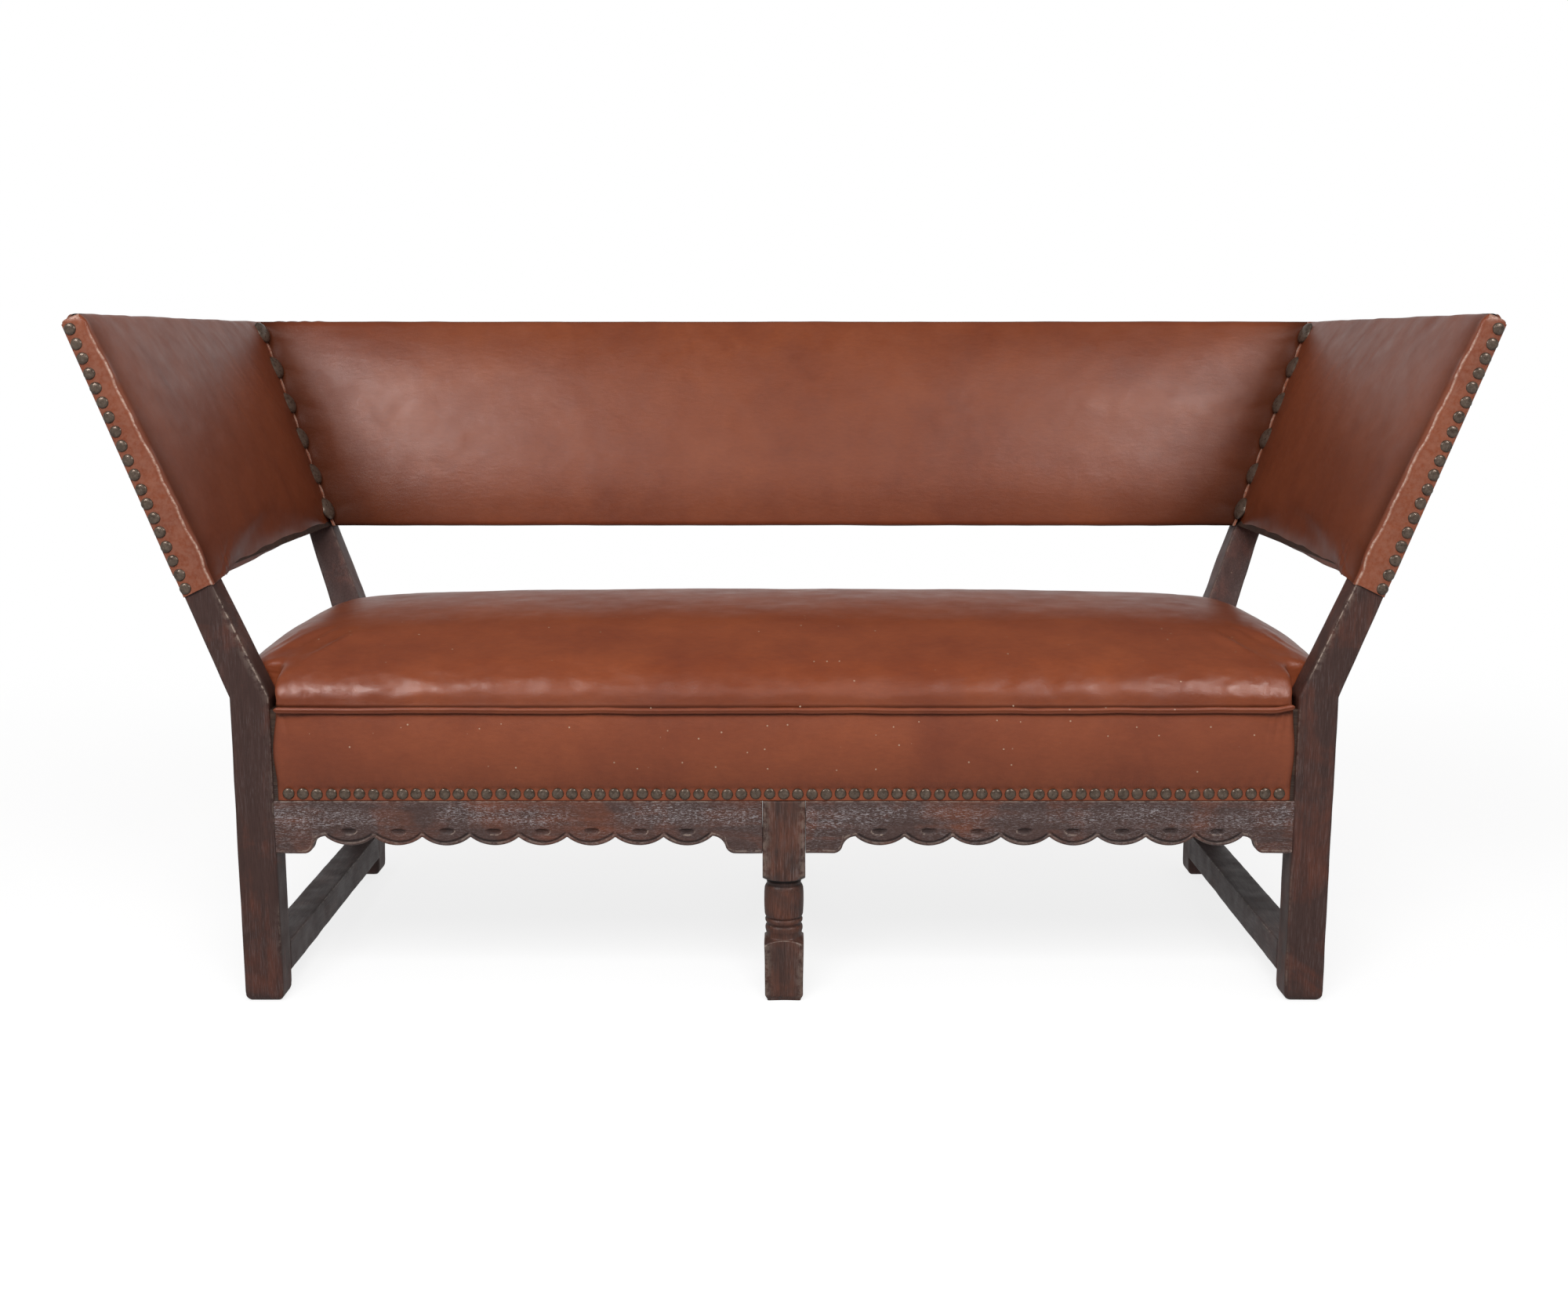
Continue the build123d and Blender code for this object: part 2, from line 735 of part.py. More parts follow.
# Seat stuffing and its leather, lofted along the settee through upright sections

def crown_share(share):
    """How much of the crown is left at a share of the half length."""
    end_share = (seat_roll + seat_end_rise) / seat_crown
    return end_share + (1 - end_share) * (1 - abs(share) ** crown_side_power) ** crown_round_power


def seat_section(share, inset):
    """One upright section of the seat, as seen from its side."""
    x = share * (leg_outer + seat_overhang - inset)
    front = -seat_overhang + rail_setback + inset
    rear = base_depth + seat_overhang - rail_setback - inset
    bulge = seat_bulge
    roll = deck_top + seat_roll - inset
    crown = deck_top + seat_crown * crown_share(share) - inset
    lift = (crown - roll) / 2

    def at(y, z):
        return Vector(x, y, z)

    front_top = front + roll_lean
    rear_top = rear - roll_lean
    middle = (front + rear) / 2
    edges = [
        arc(at(front, deck_top), at(front - bulge, (deck_top + roll) / 2), at(front_top, roll + lift / 3)),
        arc(at(front_top, roll + lift / 3), at(middle, crown), at(rear_top, roll + lift / 3)),
        arc(at(rear_top, roll + lift / 3), at(rear + bulge, (deck_top + roll) / 2), at(rear, deck_top)),
        line(at(rear, deck_top), at(front, deck_top)),
    ]
    return closed_face(edges)


def seat_form(inset):
    return loft([seat_section(share, inset) for share in seat_length_shares], ruled=True)


seat_high = deck_top + seat_crown + overrun
stuffing = seat_form(leather) - post_notches(post_clearance + leather, deck_top - overrun, seat_high)
cover_blank = seat_form(0) - post_notches(post_clearance, deck_top - overrun, seat_high)
parts["seat_stuffing"] = stuffing
parts["seat_cover"] = cover_blank - stuffing


# Leather bands over the seat rails

def band_section(along, swell_share, flat_face, place):
    """One section of a band: flat under the nails, then swelling out and back to the piping."""
    def at(out, z):
        return place(along, flat_face + out, z)

    nail_top = rail_bottom + band_flat
    swell = leather + (band_swell - leather) * swell_share
    top = leather + (band_top_swell - leather) * swell_share
    edges = [
        line(at(0, rail_bottom), at(leather, rail_bottom)),
        line(at(leather, rail_bottom), at(leather, nail_top)),
        arc(at(leather, nail_top), at(swell, (nail_top + rail_top) / 2), at(top, rail_top)),
        line(at(top, rail_top), at(0, rail_top)),
        line(at(0, rail_top), at(0, rail_bottom)),
    ]
    return closed_face(edges)


def band(half_length, middle, flat_face, place):
    sections = [
        band_section(middle + half_length * share, swell, flat_face, place)
        for share, swell in zip(band_length_shares, band_swell_shares)
    ]
    return loft(sections, ruled=True)


def front_place(along, out, z):
    return Vector(along, -out, z)


def rear_place(along, out, z):
    return Vector(along, base_depth + out, z)


def side_place(along, out, z):
    return Vector(leg_outer + out, along, z)


front_band_half = leg_inner - band_end_draw
side_band_half = (rear_leg_front - leg_depth) / 2 - edge_gap
parts["seat_band_front"] = band(front_band_half, 0, -rail_setback, front_place)
parts["seat_band_rear"] = band(front_band_half, 0, -rail_setback, rear_place)
parts["seat_band_right"] = band(side_band_half, base_depth / 2, -rail_setback, side_place)


# Piping in the seam above the bands, in a groove of its own in the leather

def welt_run(half_length, radius, place, along_axis):
    rod = Cylinder(radius, 2 * half_length)
    turn = Rot(0, 90, 0) if along_axis == "x" else Rot(90, 0, 0)
    return Pos(*place) * turn * rod


def welts(radius):
    """The four runs of piping, front, rear, right and left."""
    side_middle = leg_outer + welt_setout - rail_setback
    front_y = rail_setback - welt_setout
    rear_y_place = base_depth - front_y
    runs = [
        welt_run(front_band_half, radius, (0, front_y, deck_top), "x"),
        welt_run(front_band_half, radius, (0, rear_y_place, deck_top), "x"),
        welt_run(side_band_half, radius, (side_middle, base_depth / 2, deck_top), "y"),
    ]
    return runs + [mirrored(runs[-1])]


parts["seat_welt"] = welts(welt_radius)
welt_grooves = welts(welt_radius + soft_gap)
cut("seat_cover", welt_grooves)
cut("seat_stuffing", welt_grooves)
for name in ("seat_band_front", "seat_band_rear", "seat_band_right"):
    cut(name, welt_grooves)


# Stuffing and leather of the arms and back, lofted upward through level sections

def level_heights(inset):
    low = cover_bottom + inset
    high = overall_height - inset
    return [low + (high - low) * share for share in pad_height_shares]


def arm_section(z, swell_share, inset):
    """The right arm's padding at one height, as seen from above."""
    face = inner_x(z) - pad_edge + inset
    front = -leather + inset
    rear = inner_y(z) - inset
    flat = inner_y(z) - corner_flat

    def at(x, y):
        return Vector(x, y, z)

    edges = [
        arc(at(face, front), at(face - arm_swell * swell_share, (front + flat) / 2), at(face, flat)),
        line(at(face, flat), at(face, rear)),
        line(at(face, rear), at(inner_x(z), rear)),
        line(at(inner_x(z), rear), at(inner_x(z), front)),
        line(at(inner_x(z), front), at(face, front)),
    ]
    return closed_face(edges)


def back_section(z, swell_share, inset):
    """The back's padding at one height, as seen from above."""
    half = inner_x(z) - pad_edge - soft_gap - inset
    face = inner_y(z) - pad_edge + inset
    swell = back_swell * swell_share
    shoulder = half - back_shoulder
    ease = half - back_shoulder / 3

    def at(x, y):
        return Vector(x, y, z)

    edges = [
        line(at(-half, inner_y(z)), at(-half, face)),
        arc(at(-half, face), at(-ease, face - swell * 2 / 3), at(-shoulder, face - swell)),
        line(at(-shoulder, face - swell), at(shoulder, face - swell)),
        arc(at(shoulder, face - swell), at(ease, face - swell * 2 / 3), at(half, face)),
        line(at(half, face), at(half, inner_y(z))),
        line(at(half, inner_y(z)), at(-half, inner_y(z))),
    ]
    return closed_face(edges)


def pad_form(section, inset):
    levels = zip(level_heights(inset), pad_swell_shares)
    return loft([section(z, swell, inset) for z, swell in levels], ruled=True)


# The arm leather goes over the top and under the bottom of the frame, and over the post's front
# The facing on the post ends in an edge that is cut square to the leaning post
outer_slope = flare_reach / (post_top - kink_height)
facing_inner_low = panel_bottom - facing_drop
facing_outer_low = facing_inner_low - outer_slope * (outer_x(facing_inner_low) - inner_x(facing_inner_low))
facing_outline = [
    (inner_x(facing_inner_low) - pad_edge, facing_inner_low), (outer_x(facing_outer_low), facing_outer_low),
    (outer_x(overall_height), overall_height), (inner_x(overall_height) - pad_edge, overall_height),
]


arm_stuffing = pad_form(arm_section, leather)
arm_cover = (
    (pad_form(arm_section, 0) - arm_stuffing)
    + upright(facing_outline, -leather, 0)
    + leaning_block(shifted(inner_x, -pad_edge), outer_x, fixed(-leather), rear_y, post_top, overall_height)
    + leaning_block(inner_x, outer_x, fixed(leg_depth), inner_y, cover_bottom, panel_bottom)
)
parts["arm_stuffing_right"] = arm_stuffing
parts["arm_cover_right"] = arm_cover

back_stuffing = pad_form(back_section, leather)
back_cover_half = shifted(inner_x, -pad_edge - soft_gap)
back_cover_sides = (lambda z: -back_cover_half(z), back_cover_half)
back_cover = (
    (pad_form(back_section, 0) - back_stuffing)
    + leaning_block(*back_cover_sides, inner_y, rear_y, post_top, overall_height)
    + leaning_block(*back_cover_sides, inner_y, rear_y, cover_bottom, panel_bottom)
)
parts["back_stuffing"] = back_stuffing
parts["back_cover"] = back_cover

# Outside leathers
parts["outside_back"] = leaning_block(
    lambda z: -outer_x(z), outer_x, rear_y, shifted(rear_y, leather), cover_bottom, overall_height)
parts["outside_arm_right"] = leaning_block(
    outer_x, shifted(outer_x, leather), fixed(-leather), shifted(rear_y, leather),
    cover_bottom, overall_height)

# Leather strip up the inner corner, under the large nails
strip_rear = shifted(inner_y, -pad_edge - edge_gap)
parts["corner_strip_right"] = leaning_block(
    shifted(inner_x, -pad_edge - corner_strip_thickness), shifted(inner_x, -pad_edge),
    shifted(strip_rear, -corner_strip_width), strip_rear, cover_bottom, overall_height)


# Nails: a domed head, flat behind, on a round pin that goes through leather into wood

def nail(radius, height, pin_radius, pin_length):
    dome_radius = (radius ** 2 + height ** 2) / (2 * height)
    half_turn = math.asin(radius / dome_radius) / 2
    middle = Vector(dome_radius * math.sin(half_turn), 0, height - dome_radius * (1 - math.cos(half_turn)))
    profile = closed_face([
        line((0, 0, -pin_length), (pin_radius, 0, -pin_length)),
        line((pin_radius, 0, -pin_length), (pin_radius, 0, 0)),
        line((pin_radius, 0, 0), (radius, 0, 0)),
        arc((radius, 0, 0), middle, (0, 0, height)),
        line((0, 0, height), (0, 0, -pin_length)),
    ])
    return revolve(profile, Axis.Z)


def pin_hole(radius, length):
    depth = length + pin_fit
    hole = Cylinder(radius + pin_fit, depth + overrun, align=(Align.CENTER, Align.CENTER, Align.MIN))
    return Pos(0, 0, -depth) * hole


def drive(name, planes, head, hole, targets):
    """Drive one nail at each plane, and drill what its pin goes through."""
    parts[name] = [plane * head for plane in planes]
    holes = [plane * hole for plane in planes]
    for target in targets:
        cut(target, holes)


def row_places(half_length, pitch):
    """Places spaced evenly about the middle of a row."""
    count = int(2 * half_length / pitch) + 1
    return [(index - (count - 1) / 2) * pitch for index in range(count)]


def spaced(high, low, pitch):
    """Places down from the highest to the lowest, evenly spaced at nearly the pitch."""
    gaps = round((high - low) / pitch)
    return [high - (high - low) * index / gaps for index in range(gaps + 1)]


small_nail = nail(nail_radius, nail_height, nail_pin_radius, nail_pin_length)
small_hole = pin_hole(nail_pin_radius, nail_pin_length)
large_nail = nail(corner_nail_radius, corner_nail_height, nail_pin_radius, corner_nail_pin)
large_hole = pin_hole(nail_pin_radius, corner_nail_pin)
nail_line = rail_bottom + seat_nail_rise
band_face = rail_setback - leather

front_nails = [Plane(origin=(x, band_face, nail_line), z_dir=(0, -1, 0))
               for x in row_places(front_band_half - nail_radius - edge_gap, seat_nail_pitch)]
drive("seat_nails_front", front_nails, small_nail, small_hole, ["seat_band_front", "front_seat_rail"])
side_nails = [Plane(origin=(leg_outer - band_face, base_depth / 2 + y, nail_line), z_dir=(1, 0, 0))
              for y in row_places(side_band_half - nail_radius - edge_gap, seat_nail_pitch)]
drive("seat_nails_right", side_nails, small_nail, small_hole, ["seat_band_right", "side_seat_rail_right"])

arm_nail_heights = spaced(overall_height - arm_nail_top, facing_outer_low + arm_nail_foot, arm_nail_pitch)
arm_nails = [Plane(origin=(outer_x(z) - arm_nail_inset, -leather, z), z_dir=(0, -1, 0))
             for z in arm_nail_heights]
drive("arm_nails_right", arm_nails, small_nail, small_hole, ["arm_cover_right", "front_post_right"])

inner_slope = (inner_x(post_top) - inner_x(kink_height)) / (post_top - kink_height)
corner_nail_y = shifted(inner_y, -pad_edge - corner_nail_gap - corner_nail_radius)
corner_nails = [
    Plane(origin=(inner_x(z) - pad_edge - corner_strip_thickness, corner_nail_y(z), z),
          z_dir=(-1, 0, inner_slope))
    for z in spaced(overall_height - corner_nail_top, panel_bottom + corner_nail_foot, corner_nail_pitch)
]
drive("corner_nails_right", corner_nails, large_nail, large_hole,
      ["corner_strip_right", "arm_cover_right", "arm_stuffing_right", "arm_rear_stile_right",
       "arm_top_rail_right", "arm_bottom_rail_right"])

rear_slope = (rear_y(post_top) - rear_y(kink_height)) / (post_top - kink_height)


def outside_plane(x, z):
    return Plane(origin=(x, rear_y(z) + leather, z), z_dir=(0, 1, -rear_slope))


back_nail_low = cover_bottom + back_nail_inset
back_nail_high = overall_height - back_nail_inset
back_nails = [outside_plane(x, z) for z in (back_nail_low, back_nail_high)
              for x in row_places(outer_x(z) - back_nail_inset, back_nail_pitch)]
rear_nails = [Plane(origin=(x, base_depth - band_face, nail_line), z_dir=(0, 1, 0))
              for x in row_places(front_band_half - nail_radius - edge_gap, seat_nail_pitch)]
nail_head = split(small_nail, Plane.XY)
parts["outside_back_nails"] = [plane * nail_head for plane in back_nails]
parts["seat_nails_rear"] = [plane * nail_head for plane in rear_nails]


# The left side mirrors the right

for name in [name for name in parts if name.endswith("_right")]:
    piece = parts[name]
    twin = [mirrored(solid) for solid in piece] if isinstance(piece, list) else mirrored(piece)
    parts[name.replace("_right", "_left")] = twin


def solids_of(piece):
    shapes = piece if isinstance(piece, list) else [piece]
    return [solid for shape in shapes for solid in shape.solids()]


# Each piece is written about the middle of the settee's outline on the floor

# The seat's roll reaches furthest forward, the outside back and its nails furthest to the rear
front_reach = parts["seat_cover"].bounding_box().min.Y
rear_reach = max(solid.bounding_box().max.Y
                 for solid in (parts["outside_back"], parts["outside_back_nails"][-1]))
to_origin = Pos(0, -(front_reach + rear_reach) / 2, 0)
os.makedirs("parts", exist_ok=True)
for name, piece in parts.items():
    placed = Compound(children=[to_origin * solid for solid in solids_of(piece)])
    export_step(placed, "parts/" + name + ".step")
print("pieces:", len(parts))
print("depth over all:", round(rear_reach - front_reach, 1))
print("front faces of the legs lie at y", round(to_origin.position.Y, 2))
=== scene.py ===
import math
import bpy
import numpy as np
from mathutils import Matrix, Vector


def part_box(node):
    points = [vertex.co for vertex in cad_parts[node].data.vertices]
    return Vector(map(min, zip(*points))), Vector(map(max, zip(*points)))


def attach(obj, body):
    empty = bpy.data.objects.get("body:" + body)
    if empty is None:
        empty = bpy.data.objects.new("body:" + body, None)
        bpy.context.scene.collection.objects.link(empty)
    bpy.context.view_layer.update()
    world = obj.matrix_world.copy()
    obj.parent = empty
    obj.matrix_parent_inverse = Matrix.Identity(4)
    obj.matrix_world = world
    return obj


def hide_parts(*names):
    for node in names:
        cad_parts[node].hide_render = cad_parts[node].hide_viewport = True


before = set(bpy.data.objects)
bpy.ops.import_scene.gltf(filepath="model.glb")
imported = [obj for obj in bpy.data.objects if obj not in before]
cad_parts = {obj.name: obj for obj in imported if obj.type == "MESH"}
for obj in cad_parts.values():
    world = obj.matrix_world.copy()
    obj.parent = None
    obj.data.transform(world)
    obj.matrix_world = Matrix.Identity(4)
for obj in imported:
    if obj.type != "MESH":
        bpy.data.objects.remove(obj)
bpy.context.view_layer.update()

# Sizes in metres, the same as in the part's source. Here y is counted from the front of the legs
LEG_OUTER = 0.7535
LEG_WIDTH = 0.0535
LEG_DEPTH = 0.050
LEG_INNER = LEG_OUTER - LEG_WIDTH
BASE_DEPTH = 0.650
TOP = 0.947
POST_TOP = 0.945
KINK = 0.434
FLARE = 0.196
RAKE = 0.204
POST_TOP_WIDTH = 0.026
POST_TOP_DEPTH = 0.028
LEATHER = 0.002
RAIL_BOTTOM = 0.289
RAIL_TOP = 0.417
DECK_TOP = 0.4185
RAIL_SETBACK = 0.004
RAIL_THICK = 0.028
MIDDLE_LEG_HALF = 0.0295
REAR_LEG_HALF = 0.0225
PAD_EDGE = 0.006
PANEL_BOTTOM = RAIL_TOP + (TOP - RAIL_TOP) * 0.351
COVER_BOTTOM = PANEL_BOTTOM - LEATHER
TONGUE_OUTER = 0.5717
TONGUE_INNER = 0.5887
NAIL_RADIUS = 0.008
NAIL_HEIGHT = 0.0048
NAIL_PITCH = 0.0194
CORNER_NAIL_RADIUS = 0.019
CORNER_NAIL_HEIGHT = 0.0078
CORNER_NAILS = [TOP - 0.021 - 0.059 * index for index in range(6)]
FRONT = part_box("front_post_right")[0].y
MIRROR = np.array([-1, 1, 1])


# Leaning sides of the posts at a height

def lean(z):
    return np.maximum(0, (np.asarray(z, float) - KINK) / (POST_TOP - KINK))


def outer_x(z):
    return LEG_OUTER + FLARE * lean(z)


def inner_x(z):
    return LEG_INNER + (FLARE + LEG_WIDTH - POST_TOP_WIDTH) * lean(z)


def inner_y(z):
    return BASE_DEPTH - LEG_DEPTH + RAKE * lean(z)


def rear_y(z):
    return BASE_DEPTH + (RAKE + POST_TOP_DEPTH - LEG_DEPTH) * lean(z)


# Number tools

def smooth(low, high, value):
    """Rises smoothly from 0 at low to 1 at high."""
    t = np.clip((np.asarray(value, float) - low) / (high - low), 0, 1)
    return t * t * (3 - 2 * t)


def ridge(distance, width):
    """1 where the distance is 0, falling off on both sides over a width."""
    return np.exp(-(distance / width) ** 2)


def crowded(count, power):
    """Values from -1 to 1 that lie closer together towards both ends."""
    even = np.linspace(-1, 1, count)
    return np.sign(even) * (1 - (1 - np.abs(even)) ** power)


def two_steps(middle, count, last_count):
    """Shares of a height with a fine step up to a middle share and another above it."""
    return np.concatenate([np.linspace(0, middle, count)[:-1], np.linspace(middle, 1, last_count)])


def corner_values(cell, seed):
    """A fixed value from -1 to 1 for each cell and seed, without any order."""
    x, y, z = cell[..., 0], cell[..., 1], cell[..., 2]
    h = (x * 374761393 + y * 668265263 + z * 1442695041 + seed * 97531357) & 0xFFFFFFFF
    h = ((h ^ (h >> 13)) * 1274126177) & 0xFFFFFFFF
    h = ((h ^ (h >> 16)) * 2246822519) & 0xFFFFFFFF
    return ((h ^ (h >> 15)) & 0xFFFFF) / 524287.5 - 1


def ripple(points, size, seed, octaves=1):
    """Smooth noise over points, with features of about a size in metres."""
    total = np.zeros(points.shape[:-1])
    weight = 1.0
    for octave in range(octaves):
        p = points / (size / 2 ** octave) + 37.7 * octave
        cell = np.floor(p).astype(np.int64)
        t = p - cell
        t = t * t * (3 - 2 * t)
        value = 0
        for corner in range(8):
            step = np.array([corner & 1, corner >> 1 & 1, corner >> 2 & 1])
            part = np.prod(np.where(step, t, 1 - t), axis=-1)
            value = value + part * corner_values(cell + step, seed + octave)
        total += weight * value
        weight *= 0.5
    return total


# Mesh tools

def grid_faces(rows, columns, close_rows=False, close_columns=False):
    r = np.arange(rows if close_rows else rows - 1)
    c = np.arange(columns if close_columns else columns - 1)
    i, j = np.meshgrid(r, c, indexing="ij")
    k, m = (i + 1) % rows, (j + 1) % columns
    return np.stack([i * columns + j, i * columns + m, k * columns + m, k * columns + j], -1).reshape(-1, 4)


def tube_faces(rows, columns):
    """A tube of closed rings with a cap at both ends."""
    faces = grid_faces(rows, columns, close_columns=True).tolist()
    return faces + [list(range(columns))[::-1], [(rows - 1) * columns + c for c in range(columns)]]


def shifted(faces, offset):
    return [[offset + i for i in face] for face in faces]


def closed_sheet(upper, lower):
    """Points and faces of a thin piece between two grids of points, closed all round."""
    rows, columns = upper.shape[:2]
    size = rows * columns
    faces = grid_faces(rows, columns).tolist()
    faces += [face[::-1] for face in shifted(faces, size)]
    index = np.arange(size).reshape(rows, columns)
    border = np.concatenate([index[0], index[1:, -1], index[-1, -2::-1], index[-2:0:-1, 0]]).tolist()
    faces += [[b, a, size + a, size + b] for a, b in zip(border, border[1:] + border[:1])]
    return np.concatenate([upper.reshape(-1, 3), lower.reshape(-1, 3)]), faces


def mark(piece, name, values):
    """Sets a named value at each point, which the materials read."""
    attribute = piece.data.attributes.get(name) or piece.data.attributes.new(name, "FLOAT", "POINT")
    attribute.data.foreach_set("value", np.asarray(values, np.float32).ravel())


def build(name, points, faces, material, marks=None, flip=False):
    """A smooth mesh object from points counted from the front of the legs."""
    points = np.array(points, float).reshape(-1, 3)
    points[:, 1] += FRONT
    faces = [list(face)[::-1] if flip else list(face) for face in faces]
    mesh = bpy.data.meshes.new(name)
    mesh.from_pydata(points.tolist(), [], faces)
    piece = bpy.data.objects.new(name, mesh)
    for key, values in (marks or {}).items():
        mark(piece, key, values)
    mesh.update()
    mesh.shade_smooth()
    mesh.materials.append(material)
    bpy.context.scene.collection.objects.link(piece)
    return piece


def mesh_places(mesh):
    co = np.empty(len(mesh.vertices) * 3)
    mesh.vertices.foreach_get("co", co)
    co = co.reshape(-1, 3)
    co[:, 1] -= FRONT
    return co


def places(piece):
    return mesh_places(piece.data)


def set_places(piece, co):
    co = co.copy()
    co[:, 1] += FRONT
    piece.data.vertices.foreach_set("co", co.ravel())
    piece.data.update()


def push(piece, amount):
    """Moves each point of a piece along its normal."""
    normals = np.empty(len(piece.data.vertices) * 3)
    piece.data.vertex_normals.foreach_get("vector", normals)
    set_places(piece, places(piece) + normals.reshape(-1, 3) * np.asarray(amount)[:, None])


def bake(piece):
    """Puts what the modifiers make into the mesh itself."""
    graph = bpy.context.evaluated_depsgraph_get()
    mesh = bpy.data.meshes.new_from_object(piece.evaluated_get(graph))
    piece.modifiers.clear()
    piece.data = mesh
    mesh.shade_smooth()


def divide(piece):
    """Divides every face once, rounding the mesh."""
    modifier = piece.modifiers.new("divide", "SUBSURF")
    modifier.levels = 1
    modifier.render_levels = 1
    bake(piece)


HOLD_STEPS = 8
CLOTH_FRAMES = 20


def inflate(piece, hold, cap, stiffness=15.0):
    """Cloth simulation of a pad: it swells where it isn't held, and moves by a cap at most."""
    scene = bpy.context.scene
    group = piece.vertex_groups.new(name="hold")
    levels = np.round(np.clip(hold, 0, 1) * HOLD_STEPS) / HOLD_STEPS
    for level in np.unique(levels):
        if level > 0:
            group.add(np.flatnonzero(levels == level).tolist(), float(level), "REPLACE")
    cloth = piece.modifiers.new("cloth", "CLOTH")
    for key, value in {"quality": 4, "mass": 0.3, "tension_stiffness": stiffness,
                       "compression_stiffness": stiffness, "shear_stiffness": stiffness / 3,
                       "bending_stiffness": 0.6, "vertex_group_mass": "hold", "use_pressure": True,
                       "uniform_pressure_force": 4.0}.items():
        setattr(cloth.settings, key, value)
    cloth.settings.effector_weights.gravity = 0
    cloth.point_cache.frame_start = 1
    cloth.point_cache.frame_end = CLOTH_FRAMES
    cloth.collision_settings.use_collision = False
    start = places(piece)
    for step in range(1, CLOTH_FRAMES + 1):
        scene.frame_set(step)
    graph = bpy.context.evaluated_depsgraph_get()
    shift = mesh_places(piece.evaluated_get(graph).data) - start
    length = np.linalg.norm(shift, axis=1) + 1e-9
    shift *= (cap * np.tanh(length / cap) / length)[:, None]
    piece.modifiers.clear()
    piece.vertex_groups.clear()
    set_places(piece, start + shift)
    scene.frame_set(1)


def settle(piece, slot, *nodes):
    """Rides on the settee and stands for its CAD nodes, which it hides. Its slot is not used."""
    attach(piece, "root")
    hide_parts(*nodes)
    return piece


# Node tools

def linear(*rgb):
    return tuple((v / 255 / 12.92) if v < 10.3 else ((v / 255 + 0.055) / 1.055) ** 2.4 for v in rgb) + (1,)


class Nodes:
    """A node tree with short ways to add what it needs."""

    def __init__(self, owner):
        owner.use_nodes = True
        self.tree = owner.node_tree

    def add(self, kind, values=None, **settings):
        node = self.tree.nodes.new(kind)
        for key, value in settings.items():
            setattr(node, key, value)
        for key, value in (values or {}).items():
            self.put(node.inputs[key], value)
        return node

    def put(self, socket, value):
        if isinstance(value, bpy.types.NodeSocket):
            self.tree.links.new(value, socket)
        else:
            socket.default_value = value

    def ranged(self, value, low, high, out_low=0.0, out_high=1.0, shape="LINEAR"):
        return self.add("ShaderNodeMapRange", {
            "Value": value, "From Min": low, "From Max": high, "To Min": out_low, "To Max": out_high},
            interpolation_type=shape).outputs["Result"]

    def sum(self, kind, a, b, clamp=False):
        return self.add("ShaderNodeMath", {0: a, 1: b}, operation=kind, use_clamp=clamp).outputs[0]

    def times(self, a, b):
        return self.sum("MULTIPLY", a, b)

    def shader(self, kind, **values):
        return self.add("ShaderNode" + kind, values).outputs[0]

    def blend(self, factor, first, second):
        return self.add("ShaderNodeMixShader", {0: factor, 1: first, 2: second}).outputs[0]

    def by_ray(self, seen, mirrored, other):
        """One shader for the camera, also through clear things, one for glossy rays and one for the rest."""
        rays = self.add("ShaderNodeLightPath").outputs
        direct = self.sum("MAXIMUM", rays["Is Camera Ray"], rays["Is Transmission Ray"])
        return self.blend(direct, self.blend(rays["Is Glossy Ray"], other, mirrored), seen)


class Finish(Nodes):
    """A surface material around one principled shader, in the object's own coordinates."""

    def __init__(self, name):
        self.material = bpy.data.materials.new(name)
        super().__init__(self.material)
        self.surface = next(n for n in self.tree.nodes if n.type == "BSDF_PRINCIPLED")
        self.place = self.add("ShaderNodeTexCoord").outputs["Object"]

    def stretched(self, scale):
        return self.add("ShaderNodeMapping", {"Vector": self.place, "Scale": scale}).outputs["Vector"]

    def noise(self, scale, detail, place=None, rough=0.5, warp=0.0):
        return self.add("ShaderNodeTexNoise", {
            "Vector": place or self.place, "Scale": scale, "Detail": detail, "Roughness": rough,
            "Distortion": warp}).outputs["Fac"]

    def cells(self, scale, feature="F1", output="Distance"):
        return self.add("ShaderNodeTexVoronoi", {"Vector": self.place, "Scale": scale},
                        feature=feature).outputs[output]

    def dots(self, scale, radius, rarity):
        """Small round dots with a soft edge between two radii, in the cells that two limits leave."""
        return self.times(self.ranged(self.cells(scale), *radius, 1.0, 0.0),
                          self.ranged(self.cells(scale, output="Color"), *rarity))

    def mix(self, factor, a, b):
        node = self.add("ShaderNodeMix", data_type="RGBA")
        for index, value in ((0, factor), (6, a), (7, b)):
            self.put(node.inputs[index], value)
        return node.outputs[2]

    def mark(self, name):
        return self.add("ShaderNodeAttribute", attribute_name=name).outputs["Fac"]

    def shaded(self, colour, hollow):
        """Paints shade: darkens a colour where the piece carries the shade mark."""
        return self.mix(self.ranged(self.mark("shade"), 0.0, 1.0, 0.0, 0.85), colour, linear(*hollow))

    def bump(self, height, strength, distance, under=None):
        values = {"Height": height, "Strength": strength, "Distance": distance}
        if under is not None:
            values["Normal"] = under
        return self.add("ShaderNodeBump", values).outputs["Normal"]

    def done(self, **sockets):
        for key, value in sockets.items():
            self.put(self.surface.inputs[key.replace("_", " ")], value)
        return self.material


# Materials, with colours as 8-bit values

SADDLE = (148, 77, 46)
RUSSET = (122, 59, 36)
WAX_FIBRE = (96, 46, 30)
# Colour of the painted shade on leather, also of the piping's seam
LEATHER_PAINTED_SHADE_AND_SEAM = (40, 20, 15)
PALE_SPECK = (196, 172, 148)
LEATHER_SCUFF = (206, 176, 158)
OAK_GRAIN = (38, 29, 28)
OAK_PORE = (26, 19, 18)
DRY_PORE = (164, 158, 160)
OAK_NICK = (150, 128, 112)
OAK_RUB = (176, 158, 144)
# Colour of the painted shade on oak
OAK_PAINTED_SHADE = (14, 10, 10)


